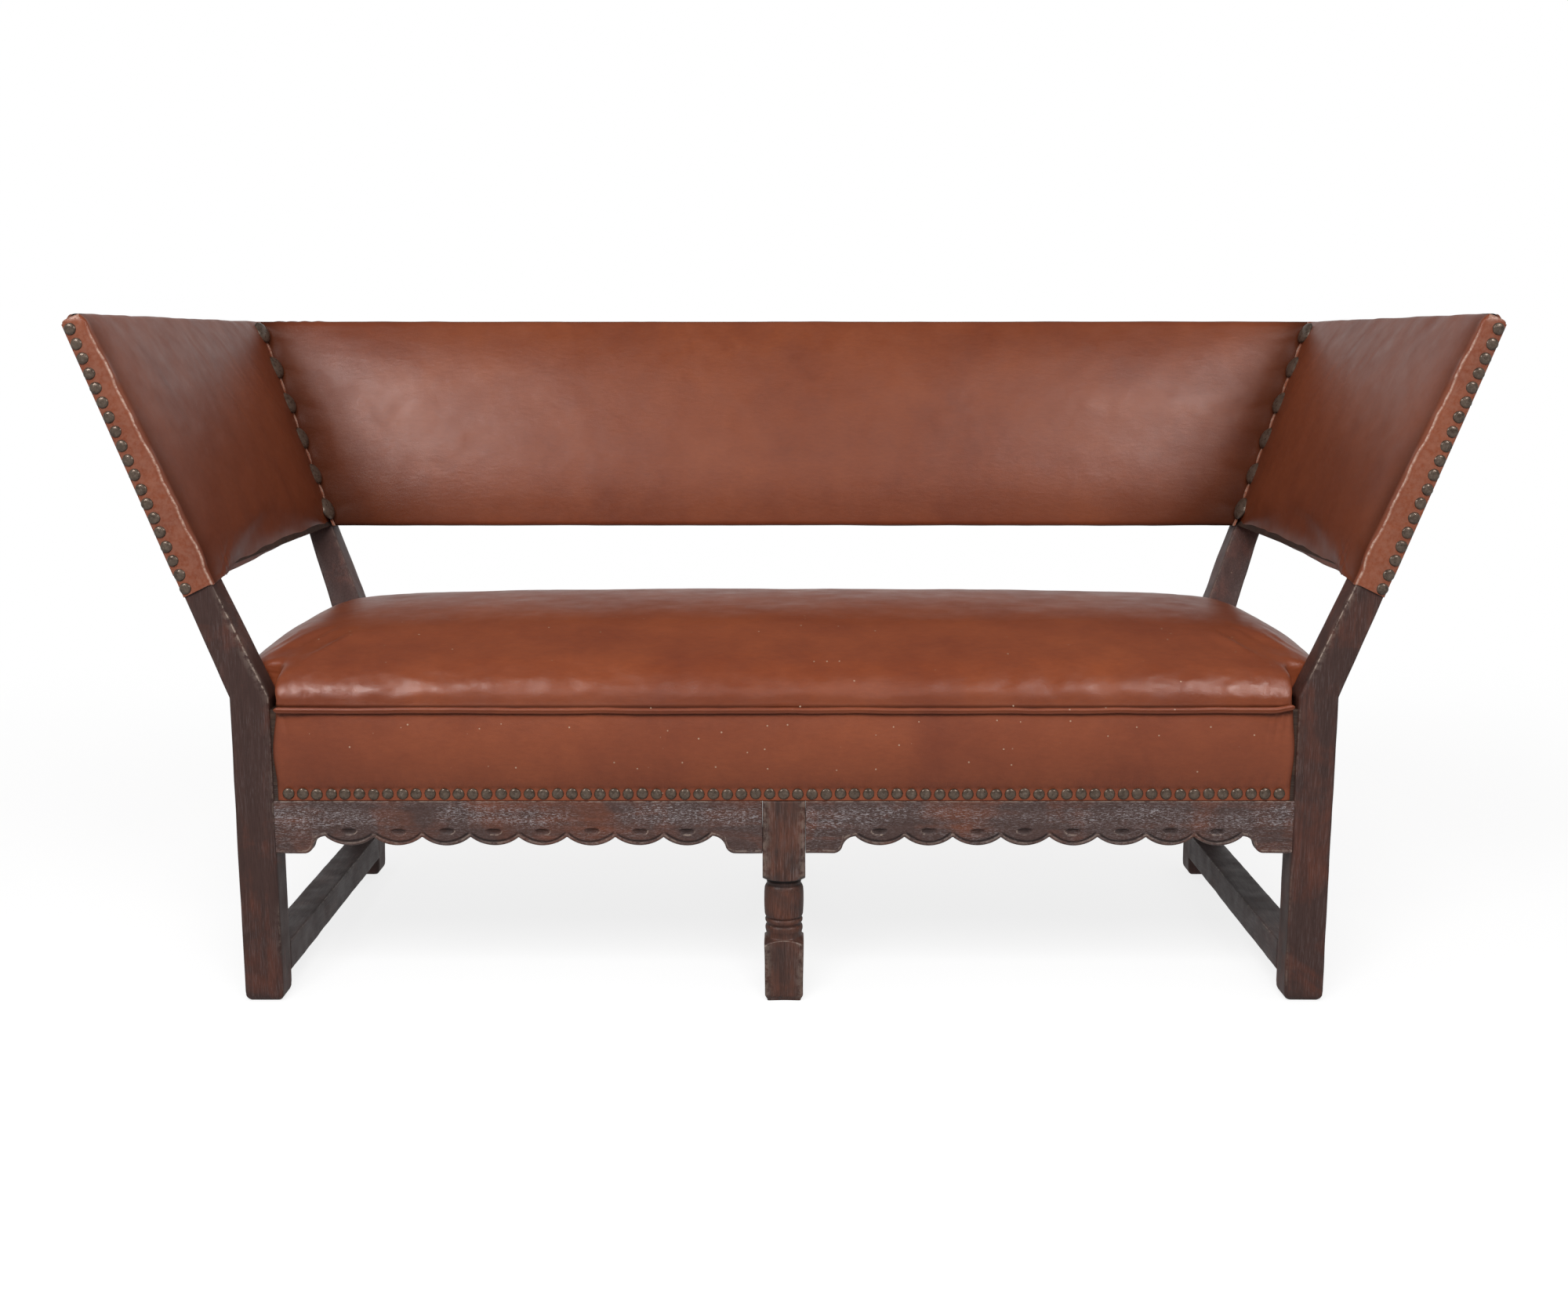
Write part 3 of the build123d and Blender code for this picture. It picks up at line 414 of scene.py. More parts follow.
def leather(name, light, deep, worn=0.0, specks=0.0, gloss=0.40, shine=0.5, grain=1.0):
    """Waxed hide: cloudy tones, fine creases and pebbling, scuffs where marked, painted shade and less shine
    where shaded.
    """
    f = Finish(name)
    broad = f.ranged(f.noise(4.3, 3.0, warp=0.6), 0.32, 0.68)
    cloudy = f.ranged(f.noise(17.0, 5.0, rough=0.6, warp=0.4), 0.3, 0.7)
    tone = f.sum("ADD", f.times(broad, 0.55), f.times(cloudy, 0.45), clamp=True)
    colour = f.mix(tone, linear(*deep), linear(*light))
    fibre = f.noise(240.0, 3.0, place=f.stretched((0.35, 1.0, 1.0)), rough=0.7)
    colour = f.mix(f.ranged(fibre, 0.35, 0.75, 0.0, 0.22), colour, linear(*WAX_FIBRE))
    # Painted shade where the piece carries the shade mark; on the piping this mark is its seam
    colour = f.shaded(colour, LEATHER_PAINTED_SHADE_AND_SEAM)
    if specks:
        dots = f.dots(62.0, (0.055, 0.085), (0.62, 0.66))
        colour = f.mix(f.times(dots, specks), colour, linear(*PALE_SPECK))
    if worn:
        broken = f.ranged(f.noise(170.0, 5.0, rough=0.65), 0.34, 0.60)
        line = f.sum("MULTIPLY", f.mark("worn"), broken, clamp=True)
        colour = f.mix(f.times(line, worn), colour, linear(*LEATHER_SCUFF))
    pebble = f.ranged(f.cells(640.0, feature="DISTANCE_TO_EDGE"), 0.0, 0.16)
    crease = f.noise(95.0, 4.0, place=f.stretched((0.45, 1.0, 1.0)), rough=0.62, warp=0.5)
    normal = f.bump(pebble, 0.18, 0.0003, f.bump(crease, 0.24 * grain, 0.0016))
    rough = f.ranged(f.noise(30.0, 4.0, rough=0.6), 0.3, 0.7, gloss - 0.05, gloss + 0.07)
    # Less shine where shade is painted, so that it stays dark
    glint = f.ranged(f.mark("shade"), 0.05, 0.70, shine, shine * 0.10)
    return f.done(Base_Color=colour, Roughness=rough, Normal=normal, Specular_IOR_Level=glint,
                  Coat_Weight=0.04, Coat_Roughness=0.28)


def oak(name, along, dark, warm, pale, warmth, gloss=0.52, streaks=1.0, dry=False):
    """Stained oak with its grain along an axis. Dry oak shows pale open pores where marked. Shaded places get
    painted shade.
    """
    f = Finish(name)
    fine = [1150.0 if dry else 820.0] * 3
    fine[along] = 190.0 if dry else 46.0
    wide = [120.0] * 3
    wide[along] = 6.0
    streak = f.noise(1.0, 3.0, place=f.stretched(tuple(fine)), rough=0.6, warp=0.9 if dry else 0.5)
    band = f.noise(1.0, 4.0, place=f.stretched(tuple(wide)), rough=0.55, warp=0.4)
    mixed = f.sum("ADD", f.noise(8.0, 5.0, rough=0.62, warp=0.8), f.times(band, 0.25))
    warm_part = f.ranged(mixed, 0.70 - 0.2 * warmth, 0.96 - 0.2 * warmth)
    colour = f.mix(warm_part, linear(*dark), linear(*warm))
    colour = f.mix(f.ranged(band, 0.38, 0.62, 0.30 * streaks, 0.0), colour, linear(*OAK_GRAIN))
    colour = f.mix(f.ranged(streak, 0.38, 0.50, 0.40 * streaks, 0.0), colour, linear(*OAK_PORE))
    where = f.ranged(f.noise(14.0, 3.0), 0.36, 0.58)
    if dry:
        where = f.sum("ADD", f.times(where, 0.16), f.mark("dry"), clamp=True)
    pore = f.times(f.ranged(streak, 0.53, 0.62), where)
    colour = f.mix(f.times(pore, pale), colour, linear(*DRY_PORE))
    nick = f.dots(38.0, (0.030, 0.055), (0.66, 0.70))
    colour = f.mix(f.times(nick, 0.55), colour, linear(*OAK_NICK))
    broken = f.ranged(f.noise(120.0, 5.0, rough=0.65), 0.42, 0.56)
    colour = f.mix(f.sum("MULTIPLY", f.mark("worn"), broken, clamp=True), colour, linear(*OAK_RUB))
    # Painted shade where the piece carries the shade mark
    colour = f.shaded(colour, OAK_PAINTED_SHADE)
    normal = f.bump(band, 0.10, 0.0016, f.bump(streak, 0.24, 0.0008))
    rough = f.ranged(f.noise(26.0, 4.0), 0.3, 0.7, gloss - 0.08, gloss + 0.10)
    return f.done(Base_Color=colour, Roughness=rough, Normal=normal, Specular_IOR_Level=0.42)


def bronze(name):
    """Brown patina, rubbed pale on the crown of each nail, with painted shade at its rim."""
    f = Finish(name)
    patina = f.ranged(f.noise(150.0, 4.0, rough=0.65), 0.32, 0.70)
    colour = f.mix(patina, linear(84, 70, 60), linear(122, 106, 93))
    # Painted shade: dark at the rim, where the head meets the leather
    colour = f.mix(f.ranged(f.mark("rim"), 0.90, 1.0, 0.0, 0.70), colour, linear(30, 24, 20))
    rub = f.times(f.ranged(f.mark("rim"), 0.75, 0.2), f.ranged(f.noise(330.0, 3.0), 0.52, 0.70))
    colour = f.mix(f.times(rub, 0.35), colour, linear(166, 152, 140))
    normal = f.bump(f.noise(420.0, 4.0, rough=0.6), 0.20, 0.0005)
    rough = f.ranged(patina, 0.0, 1.0, 0.24, 0.38)
    return f.done(Base_Color=colour, Roughness=rough, Normal=normal, Metallic=0.45)


def woven(name, light, deep, pitch):
    """Plain weave with slubs, its threads a pitch apart."""
    f = Finish(name)
    waves = {"Vector": f.place, "Scale": 0.31415 / pitch, "Distortion": 0.6, "Detail": 2.0}
    threads = [f.add("ShaderNodeTexWave", waves, bands_direction=axis) for axis in "XY"]
    weave = f.times(*[thread.outputs["Fac"] for thread in threads])
    slub = f.noise(60.0, 4.0, rough=0.6)
    tone = f.ranged(f.sum("ADD", weave, f.times(slub, 0.6)), 0.1, 1.2)
    return f.done(Base_Color=f.mix(tone, linear(*deep), linear(*light)), Roughness=0.92,
                  Normal=f.bump(weave, 0.5, 0.0006))


def steel(name):
    """Bright steel with spots of rust."""
    f = Finish(name)
    spots = f.ranged(f.noise(90.0, 5.0, rough=0.7), 0.45, 0.62)
    return f.done(Base_Color=f.mix(spots, linear(120, 118, 114), linear(86, 60, 44)),
                  Roughness=f.ranged(spots, 0.0, 1.0, 0.34, 0.7), Metallic=0.85)


leather_seat = leather("leather_seat", (151, 77, 44), (126, 60, 36), specks=0.75, gloss=0.34, shine=0.62)
leather_band = leather("leather_band", (148, 77, 47), (123, 60, 38), specks=0.7, gloss=0.44)
leather_arms = leather("leather_arms", SADDLE, RUSSET, worn=0.85, gloss=0.38, grain=0.45)
leather_back = leather("leather_back", (148, 78, 47), (124, 61, 38), gloss=0.36)
leather_outside = leather("leather_outside", SADDLE, RUSSET)
oak_posts = oak("oak_posts", 2, (72, 50, 45), (104, 58, 44), 0.08, 0.55, streaks=0.5)
oak_rear = oak("oak_rear_posts", 2, (88, 66, 62), (116, 74, 64), 0.10, 0.5, streaks=0.6)
oak_apron = oak("oak_apron", 0, (84, 63, 58), (118, 68, 49), 1.0, 0.62, gloss=0.56, streaks=0.7, dry=True)
oak_turned = oak("oak_turned", 2, (76, 55, 49), (112, 66, 49), 0.14, 0.55, gloss=0.46, streaks=0.8)
oak_stretchers = oak("oak_stretchers", 1, (82, 67, 65), (100, 70, 62), 0.14, 0.4, gloss=0.5, streaks=0.8)
oak_hidden = oak("oak_hidden", 0, (66, 50, 42), (90, 64, 48), 0.08, 0.5, gloss=0.7)
nail_bronze = bronze("nail_bronze")
jute = woven("jute", (172, 140, 98), (112, 84, 54), 0.0030)
cambric = woven("black_cambric", (34, 33, 34), (14, 14, 15), 0.0016)
spring_steel = steel("spring_steel")

SEAT_RAILS = ["front_seat_rail", "rear_seat_rail", "side_seat_rail_left", "side_seat_rail_right"]
HIDDEN_WOOD = SEAT_RAILS + [
    "corner_blocks", "back_top_rail", "back_bottom_rail", "back_centre_stile", "arm_top_rail_left",
    "arm_top_rail_right", "arm_bottom_rail_left", "arm_bottom_rail_right", "arm_rear_stile_left",
    "arm_rear_stile_right",
]


def dress(names, material):
    """Gives CAD nodes that stay as they are a better material."""
    for name in names:
        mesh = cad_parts[name].data
        mesh.materials.clear()
        mesh.materials.append(material)


dress(HIDDEN_WOOD, oak_hidden)
dress(["seat_springs", "block_screws"], spring_steel)


# Wood: posts and stretchers as rounded beams with worn arrises

ARC_POINTS = 5
SIDE_POINTS = 5
ARC_WEAR = np.array([0.15, 0.15, 1, 0.15, 0.15])
FOOT_ROUNDING = 0.009
KINK_LENGTH = 0.012
POST_FOOT = (0.010, 0.013)


def beam(name, heights, sides, radii, material, seed, wear, wobble=0.0004, lengthwise=False, wear_rise=None):
    """A rounded beam, upright or lengthwise: at each step sides gives its limits, and radii its corners."""
    rings, worn = [], []
    for z in heights:
        rub = float(smooth(*wear_rise, z)) * 0.75 + 0.25 if wear_rise else 1.0
        x0, x1, y0, y1 = sides(z)
        wanted = radii(z) if callable(radii) else radii
        r = [min(value, 0.49 * (x1 - x0), 0.49 * (y1 - y0)) for value in wanted]
        arcs = []
        for corner, (x, y) in enumerate(((x0 + r[0], y0 + r[0]), (x1 - r[1], y0 + r[1]),
                                         (x1 - r[2], y1 - r[2]), (x0 + r[3], y1 - r[3]))):
            angles = math.pi + (corner + np.linspace(0, 1, ARC_POINTS)) * math.pi / 2
            arcs.append(np.stack([x + r[corner] * np.cos(angles), y + r[corner] * np.sin(angles)], -1))
        ring, edge = [], []
        for corner, arc in enumerate(arcs):
            following = arcs[(corner + 1) % 4][0]
            steps_on = np.arange(1, SIDE_POINTS + 1)[:, None]
            ring += [arc, arc[-1] + (following - arc[-1]) * steps_on / (SIDE_POINTS + 1)]
            edge += [wear[corner] * ARC_WEAR * rub, np.zeros(SIDE_POINTS)]
        ring = np.concatenate(ring)
        rings.append(np.column_stack([ring, np.full(len(ring), z)]))
        worn.append(np.concatenate(edge))
    points, worn = np.array(rings), np.array(worn)
    out = points - points.mean(axis=1, keepdims=True)
    out[..., 2] = 0
    out /= np.linalg.norm(out, axis=-1, keepdims=True) + 1e-9
    points = points + out * (ripple(points, 0.045, seed, 2) * wobble)[..., None]
    dents = ripple(points, 0.014, seed + 5) * worn
    points = points - out * (np.clip(dents - 0.35, 0, 1) * 0.0018)[..., None]
    if lengthwise:
        points = points[..., [0, 2, 1]]
    patchy = smooth(-0.5, 0.3, ripple(points, 0.05, seed + 9, 2))
    return build(name, points, tube_faces(*worn.shape), material, {"worn": worn * patchy}, flip=lengthwise)


def mirrored(sides, side):
    """The same limits on the right, or mirrored on the left."""
    def turned(z):
        x0, x1, y0, y1 = sides(z)
        return (x0, x1, y0, y1) if side > 0 else (-x1, -x0, y0, y1)
    return turned


def eased(sides, inset, rise):
    """Limits that draw in towards the floor."""
    def drawn(z):
        x0, x1, y0, y1 = sides(z)
        draw = inset * (1 - math.sqrt(max(0.0, 1 - max(0.0, 1 - z / rise) ** 2)))
        return x0 + draw, x1 - draw, y0 + draw, y1 - draw
    return drawn


def heights_through(*marks_and_counts):
    """Heights through a list of marks, with a count of steps between each pair."""
    heights = [marks_and_counts[0]]
    for count, mark_at in zip(marks_and_counts[1::2], marks_and_counts[2::2]):
        heights += list(np.linspace(heights[-1], mark_at, count + 1)[1:])
    return heights


def front_sides(z):
    return float(inner_x(z)), float(outer_x(z)), 0.0, LEG_DEPTH


def rear_sides(z):
    return float(inner_x(z)), float(outer_x(z)), float(inner_y(z)), float(rear_y(z))


def rear_leg_sides(_):
    rear = BASE_DEPTH - RAIL_SETBACK
    return -REAR_LEG_HALF, REAR_LEG_HALF, rear - 2 * REAR_LEG_HALF, rear


def stretcher_sides(_):
    return LEG_INNER, LEG_INNER + 0.046, 0.031, 0.073


def front_radii(z, side):
    """Corner radii of a front post, whose inner front arris is rubbed unevenly round."""
    soft = 0.0042 + 0.0012 * math.sin(z * 31 + side)
    radii = [soft, 0.0028, 0.0035, 0.0075]
    return radii if side > 0 else [radii[index] for index in (1, 0, 3, 2)]


to_kink = [0.0, 6, FOOT_ROUNDING, 58, KINK - KINK_LENGTH, 6, KINK + KINK_LENGTH, 60]
rear_heights = heights_through(*to_kink, POST_TOP)
front_heights = heights_through(*to_kink, POST_TOP - 0.016)
rail_heights = np.linspace(LEG_DEPTH - 0.004, BASE_DEPTH - LEG_DEPTH + 0.004, 90)
for side, label, seed in ((1, "right", 11), (-1, "left", 23)):
    sides = eased(mirrored(front_sides, side), *POST_FOOT)
    wear = (1, 0.2, 0.1, 0.3) if side > 0 else (0.2, 1, 0.3, 0.1)
    post = beam("front_post_" + label + "_wood", front_heights, sides, lambda z: front_radii(z, side),
                oak_posts, seed, wear=wear, wear_rise=(KINK - 0.03, KINK + 0.02))
    settle(post, "oak_posts", "front_post_" + label)
    sides = eased(mirrored(rear_sides, side), *POST_FOOT)
    rear = beam("rear_post_" + label + "_wood", rear_heights, sides, (0.0035, 0.0035, 0.004, 0.004),
                oak_rear, seed + 3, wobble=0.0011, wear=(0.3, 0.3, 0.1, 0.1))
    settle(rear, "oak_posts", "rear_post_" + label)
    rail = beam("side_stretcher_" + label + "_wood", rail_heights, mirrored(stretcher_sides, side),
                (0.002, 0.002, 0.0032, 0.0032), oak_stretchers, seed + 6, wobble=0.0005,
                wear=(0.1, 0.1, 0.4, 0.4), lengthwise=True)
    settle(rail, "oak_stretchers", "side_stretcher_" + label)

rear_leg = beam("rear_centre_leg_wood", heights_through(0.0, 6, FOOT_ROUNDING, 44, RAIL_BOTTOM),
                eased(rear_leg_sides, 0.006, FOOT_ROUNDING), [0.003] * 4, oak_posts, 41, wear=[0.2] * 4)
settle(rear_leg, "oak_posts", "rear_centre_leg")


# Turned centre leg: at each height the square stock and the turning meet at the nearer surface

FOOT_TOP = 0.087
FOOT_HALF = 0.02775
BLOCK_LOW = RAIL_BOTTOM - 0.115
NO_TURNING = 0.060
TURNING = [
    (0.0, 0.0405), (0.005, 0.0445), (0.012, NO_TURNING), (FOOT_TOP - 0.012, NO_TURNING),
    (FOOT_TOP - 0.0085, 0.0395), (FOOT_TOP - 0.004, 0.0365), (FOOT_TOP - 0.0012, 0.0325), (FOOT_TOP, 0.0300),
    (FOOT_TOP + 0.0014, 0.0270), (0.0900, 0.0252), (0.0935, 0.0250), (0.0960, 0.0254), (0.0985, 0.0262),
    (0.1015, 0.0264), (0.1040, 0.0258), (0.1055, 0.0244), (0.1070, 0.0236), (0.1085, 0.0246),
    (0.1110, 0.0262), (0.1135, 0.0264), (0.1152, 0.0254), (0.1163, 0.0240), (0.1176, 0.0244),
    (0.1190, 0.0262), (0.1215, 0.0270), (0.1280, 0.0274), (0.1400, 0.0275), (0.1520, 0.0273),
    (0.1590, 0.0268), (0.1622, 0.0256), (0.1640, 0.0242), (0.1656, 0.0234), (0.1672, 0.0238),
    (0.1690, 0.0240), (0.1708, 0.0232), (0.1722, 0.0228),
    (BLOCK_LOW - 0.0006, 0.0240), (BLOCK_LOW + 0.002, 0.0330), (BLOCK_LOW + 0.008, 0.0390),
    (BLOCK_LOW + 0.016, NO_TURNING), (RAIL_BOTTOM, NO_TURNING),
]
SQUARENESS = 26.0
MEETING = 0.0004


def turned_leg():
    heights = np.concatenate([
        np.linspace(0, FOOT_ROUNDING, 7), np.linspace(0.011, FOOT_TOP - 0.014, 26),
        np.linspace(FOOT_TOP - 0.0132, BLOCK_LOW + 0.018, 170),
        np.linspace(BLOCK_LOW + 0.021, RAIL_BOTTOM, 34)])
    angles = np.linspace(0, 2 * math.pi, 144, endpoint=False) + math.pi / 4
    z, a = np.meshgrid(heights, angles, indexing="ij")
    turned = np.interp(z, *zip(*TURNING))
    wide = np.where(z > 0.13, MIDDLE_LEG_HALF, FOOT_HALF)
    wide = wide - 0.0012 * smooth(0.0, -1.0, (z - 0.11) * 9) * (z < 0.09)
    square = wide / (np.abs(np.cos(a)) ** SQUARENESS + np.abs(np.sin(a)) ** SQUARENESS) ** (1 / SQUARENESS)
    square = square - 0.0045 * (1 - smooth(0.0, FOOT_ROUNDING, z))
    near = -MEETING * np.log(np.exp(-square / MEETING) + np.exp(-turned / MEETING))
    corner = np.abs(np.sin(2 * a)) ** 14
    arris = ridge(square - turned, 0.0007)
    worn = arris * (z < 0.095) * 0.7 + corner * (square < turned) * 0.25 + arris * (z > 0.16) * 0.2
    worn = np.clip(worn, 0, 1)
    points = np.stack([near * np.cos(a), MIDDLE_LEG_HALF + near * np.sin(a), z], -1)
    points[..., 0] += ripple(points, 0.03, 3) * 0.0003
    # Painted shade in the deepest coves of the turning
    gorge = np.clip((0.0250 - turned) / 0.0022, 0, 1) * (z > 0.088) * (z < BLOCK_LOW + 0.002)
    return build("front_centre_leg_turned", points, tube_faces(*z.shape), oak_turned,
                 {"worn": worn, "shade": gorge})


settle(turned_leg(), "oak_turned", "front_centre_leg")


# Apron: a carved board drawn column by column, its lower edge worked out from the scallops

APRON_LOW = RAIL_BOTTOM - 0.0743
APRON_CUSP = RAIL_BOTTOM - 0.051
INNER_TAB = MIDDLE_LEG_HALF + 0.038
SCALLOP_START = INNER_TAB + 0.032
OUTER_TAB = LEG_INNER - 0.038
SCALLOP_END = OUTER_TAB - 0.0305
TAB_CORNER_SHARE = 0.41
SCALLOPS = 8
PITCH = (SCALLOP_END - SCALLOP_START) / SCALLOPS
SAG = 0.012
SCALLOP_RADIUS = ((PITCH / 2) ** 2 + SAG ** 2) / (2 * SAG)
SCALLOP_CENTRE = APRON_CUSP - SAG + SCALLOP_RADIUS
APRON_FACE = 0.001
APRON_BACK = 0.021
EDGE_ROUNDING = 0.0022
TOP_ROUNDING = 0.0010
GOUGE_HEIGHT = RAIL_BOTTOM - 0.0418


def tab_step(away, span):
    """Height above a tab's foot: a rounded corner, then a small arch, over a span beside the tab."""
    rise = APRON_CUSP + 0.0012 - APRON_LOW
    corner_x, corner_z = span * TAB_CORNER_SHARE, rise * TAB_CORNER_SHARE
    arch_x, arch_z = span - corner_x, rise - corner_z
    corner_radius = (corner_x ** 2 + corner_z ** 2) / (2 * corner_z)
    arch_radius = (arch_x ** 2 + arch_z ** 2) / (2 * arch_z)
    away = np.clip(away, 0, span)
    corner = corner_radius - np.sqrt(corner_radius ** 2 - np.minimum(away, corner_x) ** 2)
    arch = rise - arch_radius + np.sqrt(arch_radius ** 2 - np.minimum(span - away, arch_x) ** 2)
    return np.where(away < corner_x, corner, arch)


def apron_edge(x):
    """Height of the apron's lower edge: a tab at each end and a row of scallops between them."""
    local = np.clip((x - SCALLOP_START) / PITCH, 0, SCALLOPS - 1e-6)
    within = (local - np.floor(local) - 0.5) * PITCH
    arc = SCALLOP_CENTRE - np.sqrt(SCALLOP_RADIUS ** 2 - within ** 2)
    near = APRON_LOW + tab_step(x - INNER_TAB, SCALLOP_START - INNER_TAB)
    far = APRON_LOW + tab_step(OUTER_TAB - x, OUTER_TAB - SCALLOP_END)
    return np.where(x < SCALLOP_START, near, np.where(x > SCALLOP_END, far, arc))


def carving(x, z, seed):
    """The carver's cuts on the apron's face: their depth, and how much of each is groove, bowl and lip."""
    local = (x - SCALLOP_START) / PITCH
    inside = (local > 0) & (local < SCALLOPS)
    index = np.clip(np.floor(local), 0, SCALLOPS - 1)
    centre_x = SCALLOP_START + (index + 0.5) * PITCH
    away = np.hypot(x - centre_x, z - SCALLOP_CENTRE)
    wander = 0.0007 * np.sin(x * 97 + index * 2.1 + seed)
    groove = ridge(away - (SCALLOP_RADIUS - 0.0058 + wander), 0.0013)
    groove = groove * smooth(0.5, 0.42, np.abs(local - index - 0.5)) * (z < SCALLOP_CENTRE) * inside
    gouge_x = (x - centre_x - 0.0012 * np.sin(index * 1.7 + seed)) / 0.0106
    gouge_z = (z - GOUGE_HEIGHT - 0.0006 * np.cos(index * 2.3 + seed)) / 0.0056
    gouge_z = np.where(gouge_z > 0, gouge_z * 1.9, gouge_z)
    off = np.abs(gouge_x) ** 2.6 + np.abs(gouge_z) ** 2.2
    bowl = np.clip(1 - off, 0, 1) ** 0.55
    lip = ridge(off - 1.15, 0.16) * (gouge_z < 0.2) * (gouge_x < 0.5)
    return 0.0016 * groove + 0.0034 * bowl * inside, groove, bowl * inside, lip * inside


def rounding(off_edge, radius):
    """How far a face stands back near an edge that is rounded to a radius."""
    return radius - np.sqrt(np.maximum(0, radius ** 2 - np.clip(radius - off_edge, 0, radius) ** 2))


def apron(label, side, seed):
    steep = np.concatenate([np.linspace(INNER_TAB + 0.006, INNER_TAB + 0.022, 22),
                            np.linspace(OUTER_TAB - 0.021, OUTER_TAB - 0.006, 22)])
    x = np.linspace(MIDDLE_LEG_HALF + 0.0003, LEG_INNER + 0.0005, 460)
    x = np.unique(np.concatenate([x, steep]).round(5))
    low = apron_edge(x) + 0.0003 * np.sin(x * 61 + seed)
    face_share = np.concatenate([np.linspace(0, 0.06, 6)[:-1], np.linspace(0.06, 0.97, 46)[:-1],
                                 np.linspace(0.97, 1, 4)])[:, None]
    z = low + (RAIL_BOTTOM - low) * face_share
    xx = x + 0 * z
    below_top = RAIL_BOTTOM - z
    depth, groove, bowl, lip = carving(xx, z, seed)
    off_edge = (z - low) / np.sqrt(1 + np.gradient(low, x) ** 2)
    flat = ripple(np.stack([xx, xx * 0, z], -1), 0.03, seed, 2) * 0.00025
    y = APRON_FACE + depth + rounding(off_edge, EDGE_ROUNDING) + rounding(below_top, TOP_ROUNDING) + flat
    front = np.stack([xx, y, z], -1)
    worn = ridge(off_edge, 0.0012) * 0.45 + np.clip(lip - bowl * 2, 0, 1) * 0.8
    worn = worn + np.clip(ridge(off_edge - 0.0040, 0.0008) * 0.55 - groove, 0, 1)
    worn = worn + ridge(below_top, 0.0010) * 0.5
    # Painted shade in the carved groove and in the gouges' bowls
    shade = np.clip(groove + bowl * 0.62, 0, 1)
    middle_band = ridge(below_top - 0.021 - 0.004 * np.sin(xx * 23), 0.011)
    by_post = 1 + 0.8 * smooth(LEG_INNER - 0.16, LEG_INNER - 0.02, xx)
    drift = ripple(np.stack([xx, xx * 0, z * 2.5], -1), 0.085, seed + 3, 2)
    dry = np.clip((middle_band * by_post + 0.25) * (0.55 + 0.9 * drift), 0, 1)
    unseen = [(APRON_BACK, (RAIL_BOTTOM - low) * share) for share in (1.0, 0.8, 0.5, 0.2)]
    unseen += [(APRON_BACK, 0.0024), (0.0204, 0.0010), (0.0180, 0.0002), (0.0120, 0.0), (0.0062, 0.0)]
    unseen = [np.stack([x, np.full(len(x), y_at), low + rise], -1) for y_at, rise in unseen]
    points = np.concatenate([unseen, front])
    marks = {"worn": np.clip(worn, 0, 1), "shade": shade, "dry": dry}
    marks = {key: np.concatenate([np.zeros((len(unseen), len(x))), values]) for key, values in marks.items()}
    rows, columns = points.shape[:2]
    faces = grid_faces(rows, columns, close_rows=True).tolist()
    ends = [[row * columns + column for row in range(rows)] for column in (0, columns - 1)]
    faces += [ends[0][::-1], ends[1]]
    piece = build("apron_" + label + "_carved", points * np.array([side, 1, 1]), faces, oak_apron, marks,
                  flip=side < 0)
    return settle(piece, "oak_apron", "apron_" + label)


apron("right", 1, 5)
apron("left", -1, 8)


# Leather of the arms: one skin from the nailed front edge round the post's arris and back to the corner

FACING, TURN, INNER = 0, 1, 2
FACING_COLUMNS = 13
TURN_COLUMNS = 7
INNER_COLUMNS = 150
TURN_RADIUS = 0.0055
RIDGE_Y = -LEATHER + TURN_RADIUS
PAD_RISE = PAD_EDGE - LEATHER
PAD_START = (0.595, 0.640)
CORNER_STANDOFF = 0.004
ARM_TOP_TURN = 0.011
ARM_LOW_TURN = 0.042
ARM_LOW_DEPTH = 0.010
ARM_SWELL = 0.0095
ARM_SAG = 0.007
ARM_CAP = 0.0045
CORNER_RISE = 0.012
CORNER_RUN = 0.026
CORNER_DROP = 0.0145
CORNER_LENGTH = 0.050


def fullness(t, power=0.5):
    """How full a panel is at a share of its height, from its lower to its upper edge."""
    return np.clip(np.sin(np.pi * np.clip(t, 0, 1)), 0, 1) ** power


def near_corner_nail(z, reach):
    """1 level with a large corner nail, and less between two of them."""
    return np.max([ridge(z - nail, reach) for nail in CORNER_NAILS], axis=0)


def quarter_turn(count):
    """Sines and cosines at even steps through a quarter turn."""
    angles = math.pi / 2 * np.arange(1, count + 1) / count
    return zip(range(1, count + 1), np.sin(angles), np.cos(angles))


def arm_low_edge(y):
    """Lower edge of the arm's leather: cut across the post, then hanging and rising to the rear."""
    tongue = TONGUE_INNER + 0.0050 * np.clip(y / LEG_DEPTH, 0, 1)
    hang = COVER_BOTTOM - ARM_SAG * (1 - smooth(0.07, 0.45, y))
    return tongue + (hang - tongue) * smooth(LEG_DEPTH, LEG_DEPTH + 0.014, y)


def facing_inside(z):
    return inner_x(z) - LEATHER - PAD_RISE * smooth(*PAD_START, z) + TURN_RADIUS


def arm_facing(z, share):
    """Leather on the front of the post, with its outer corner rounded at the top."""
    over = np.clip(z - (TOP - CORNER_RISE), 0, CORNER_RISE) / CORNER_RISE
    outside = outer_x(z) - CORNER_RUN * over ** 1.3
    puff = 0.0016 * np.sin(np.pi * np.clip(share * 1.02, 0, 1)) ** 0.7
    return outside + (facing_inside(z) - outside) * share, -LEATHER - puff


def arm_turn(z, angle):
    """The worn ridge where the leather goes round the post's arris, never quite straight."""
    wander = 0.0009 * np.sin(z * 105 + 0.6) + 0.0008 * np.sin(z * 47 + 1) + 0.0004 * np.sin(z * 260)
    return facing_inside(z) - TURN_RADIUS * np.sin(angle) + wander, RIDGE_Y - TURN_RADIUS * np.cos(angle)


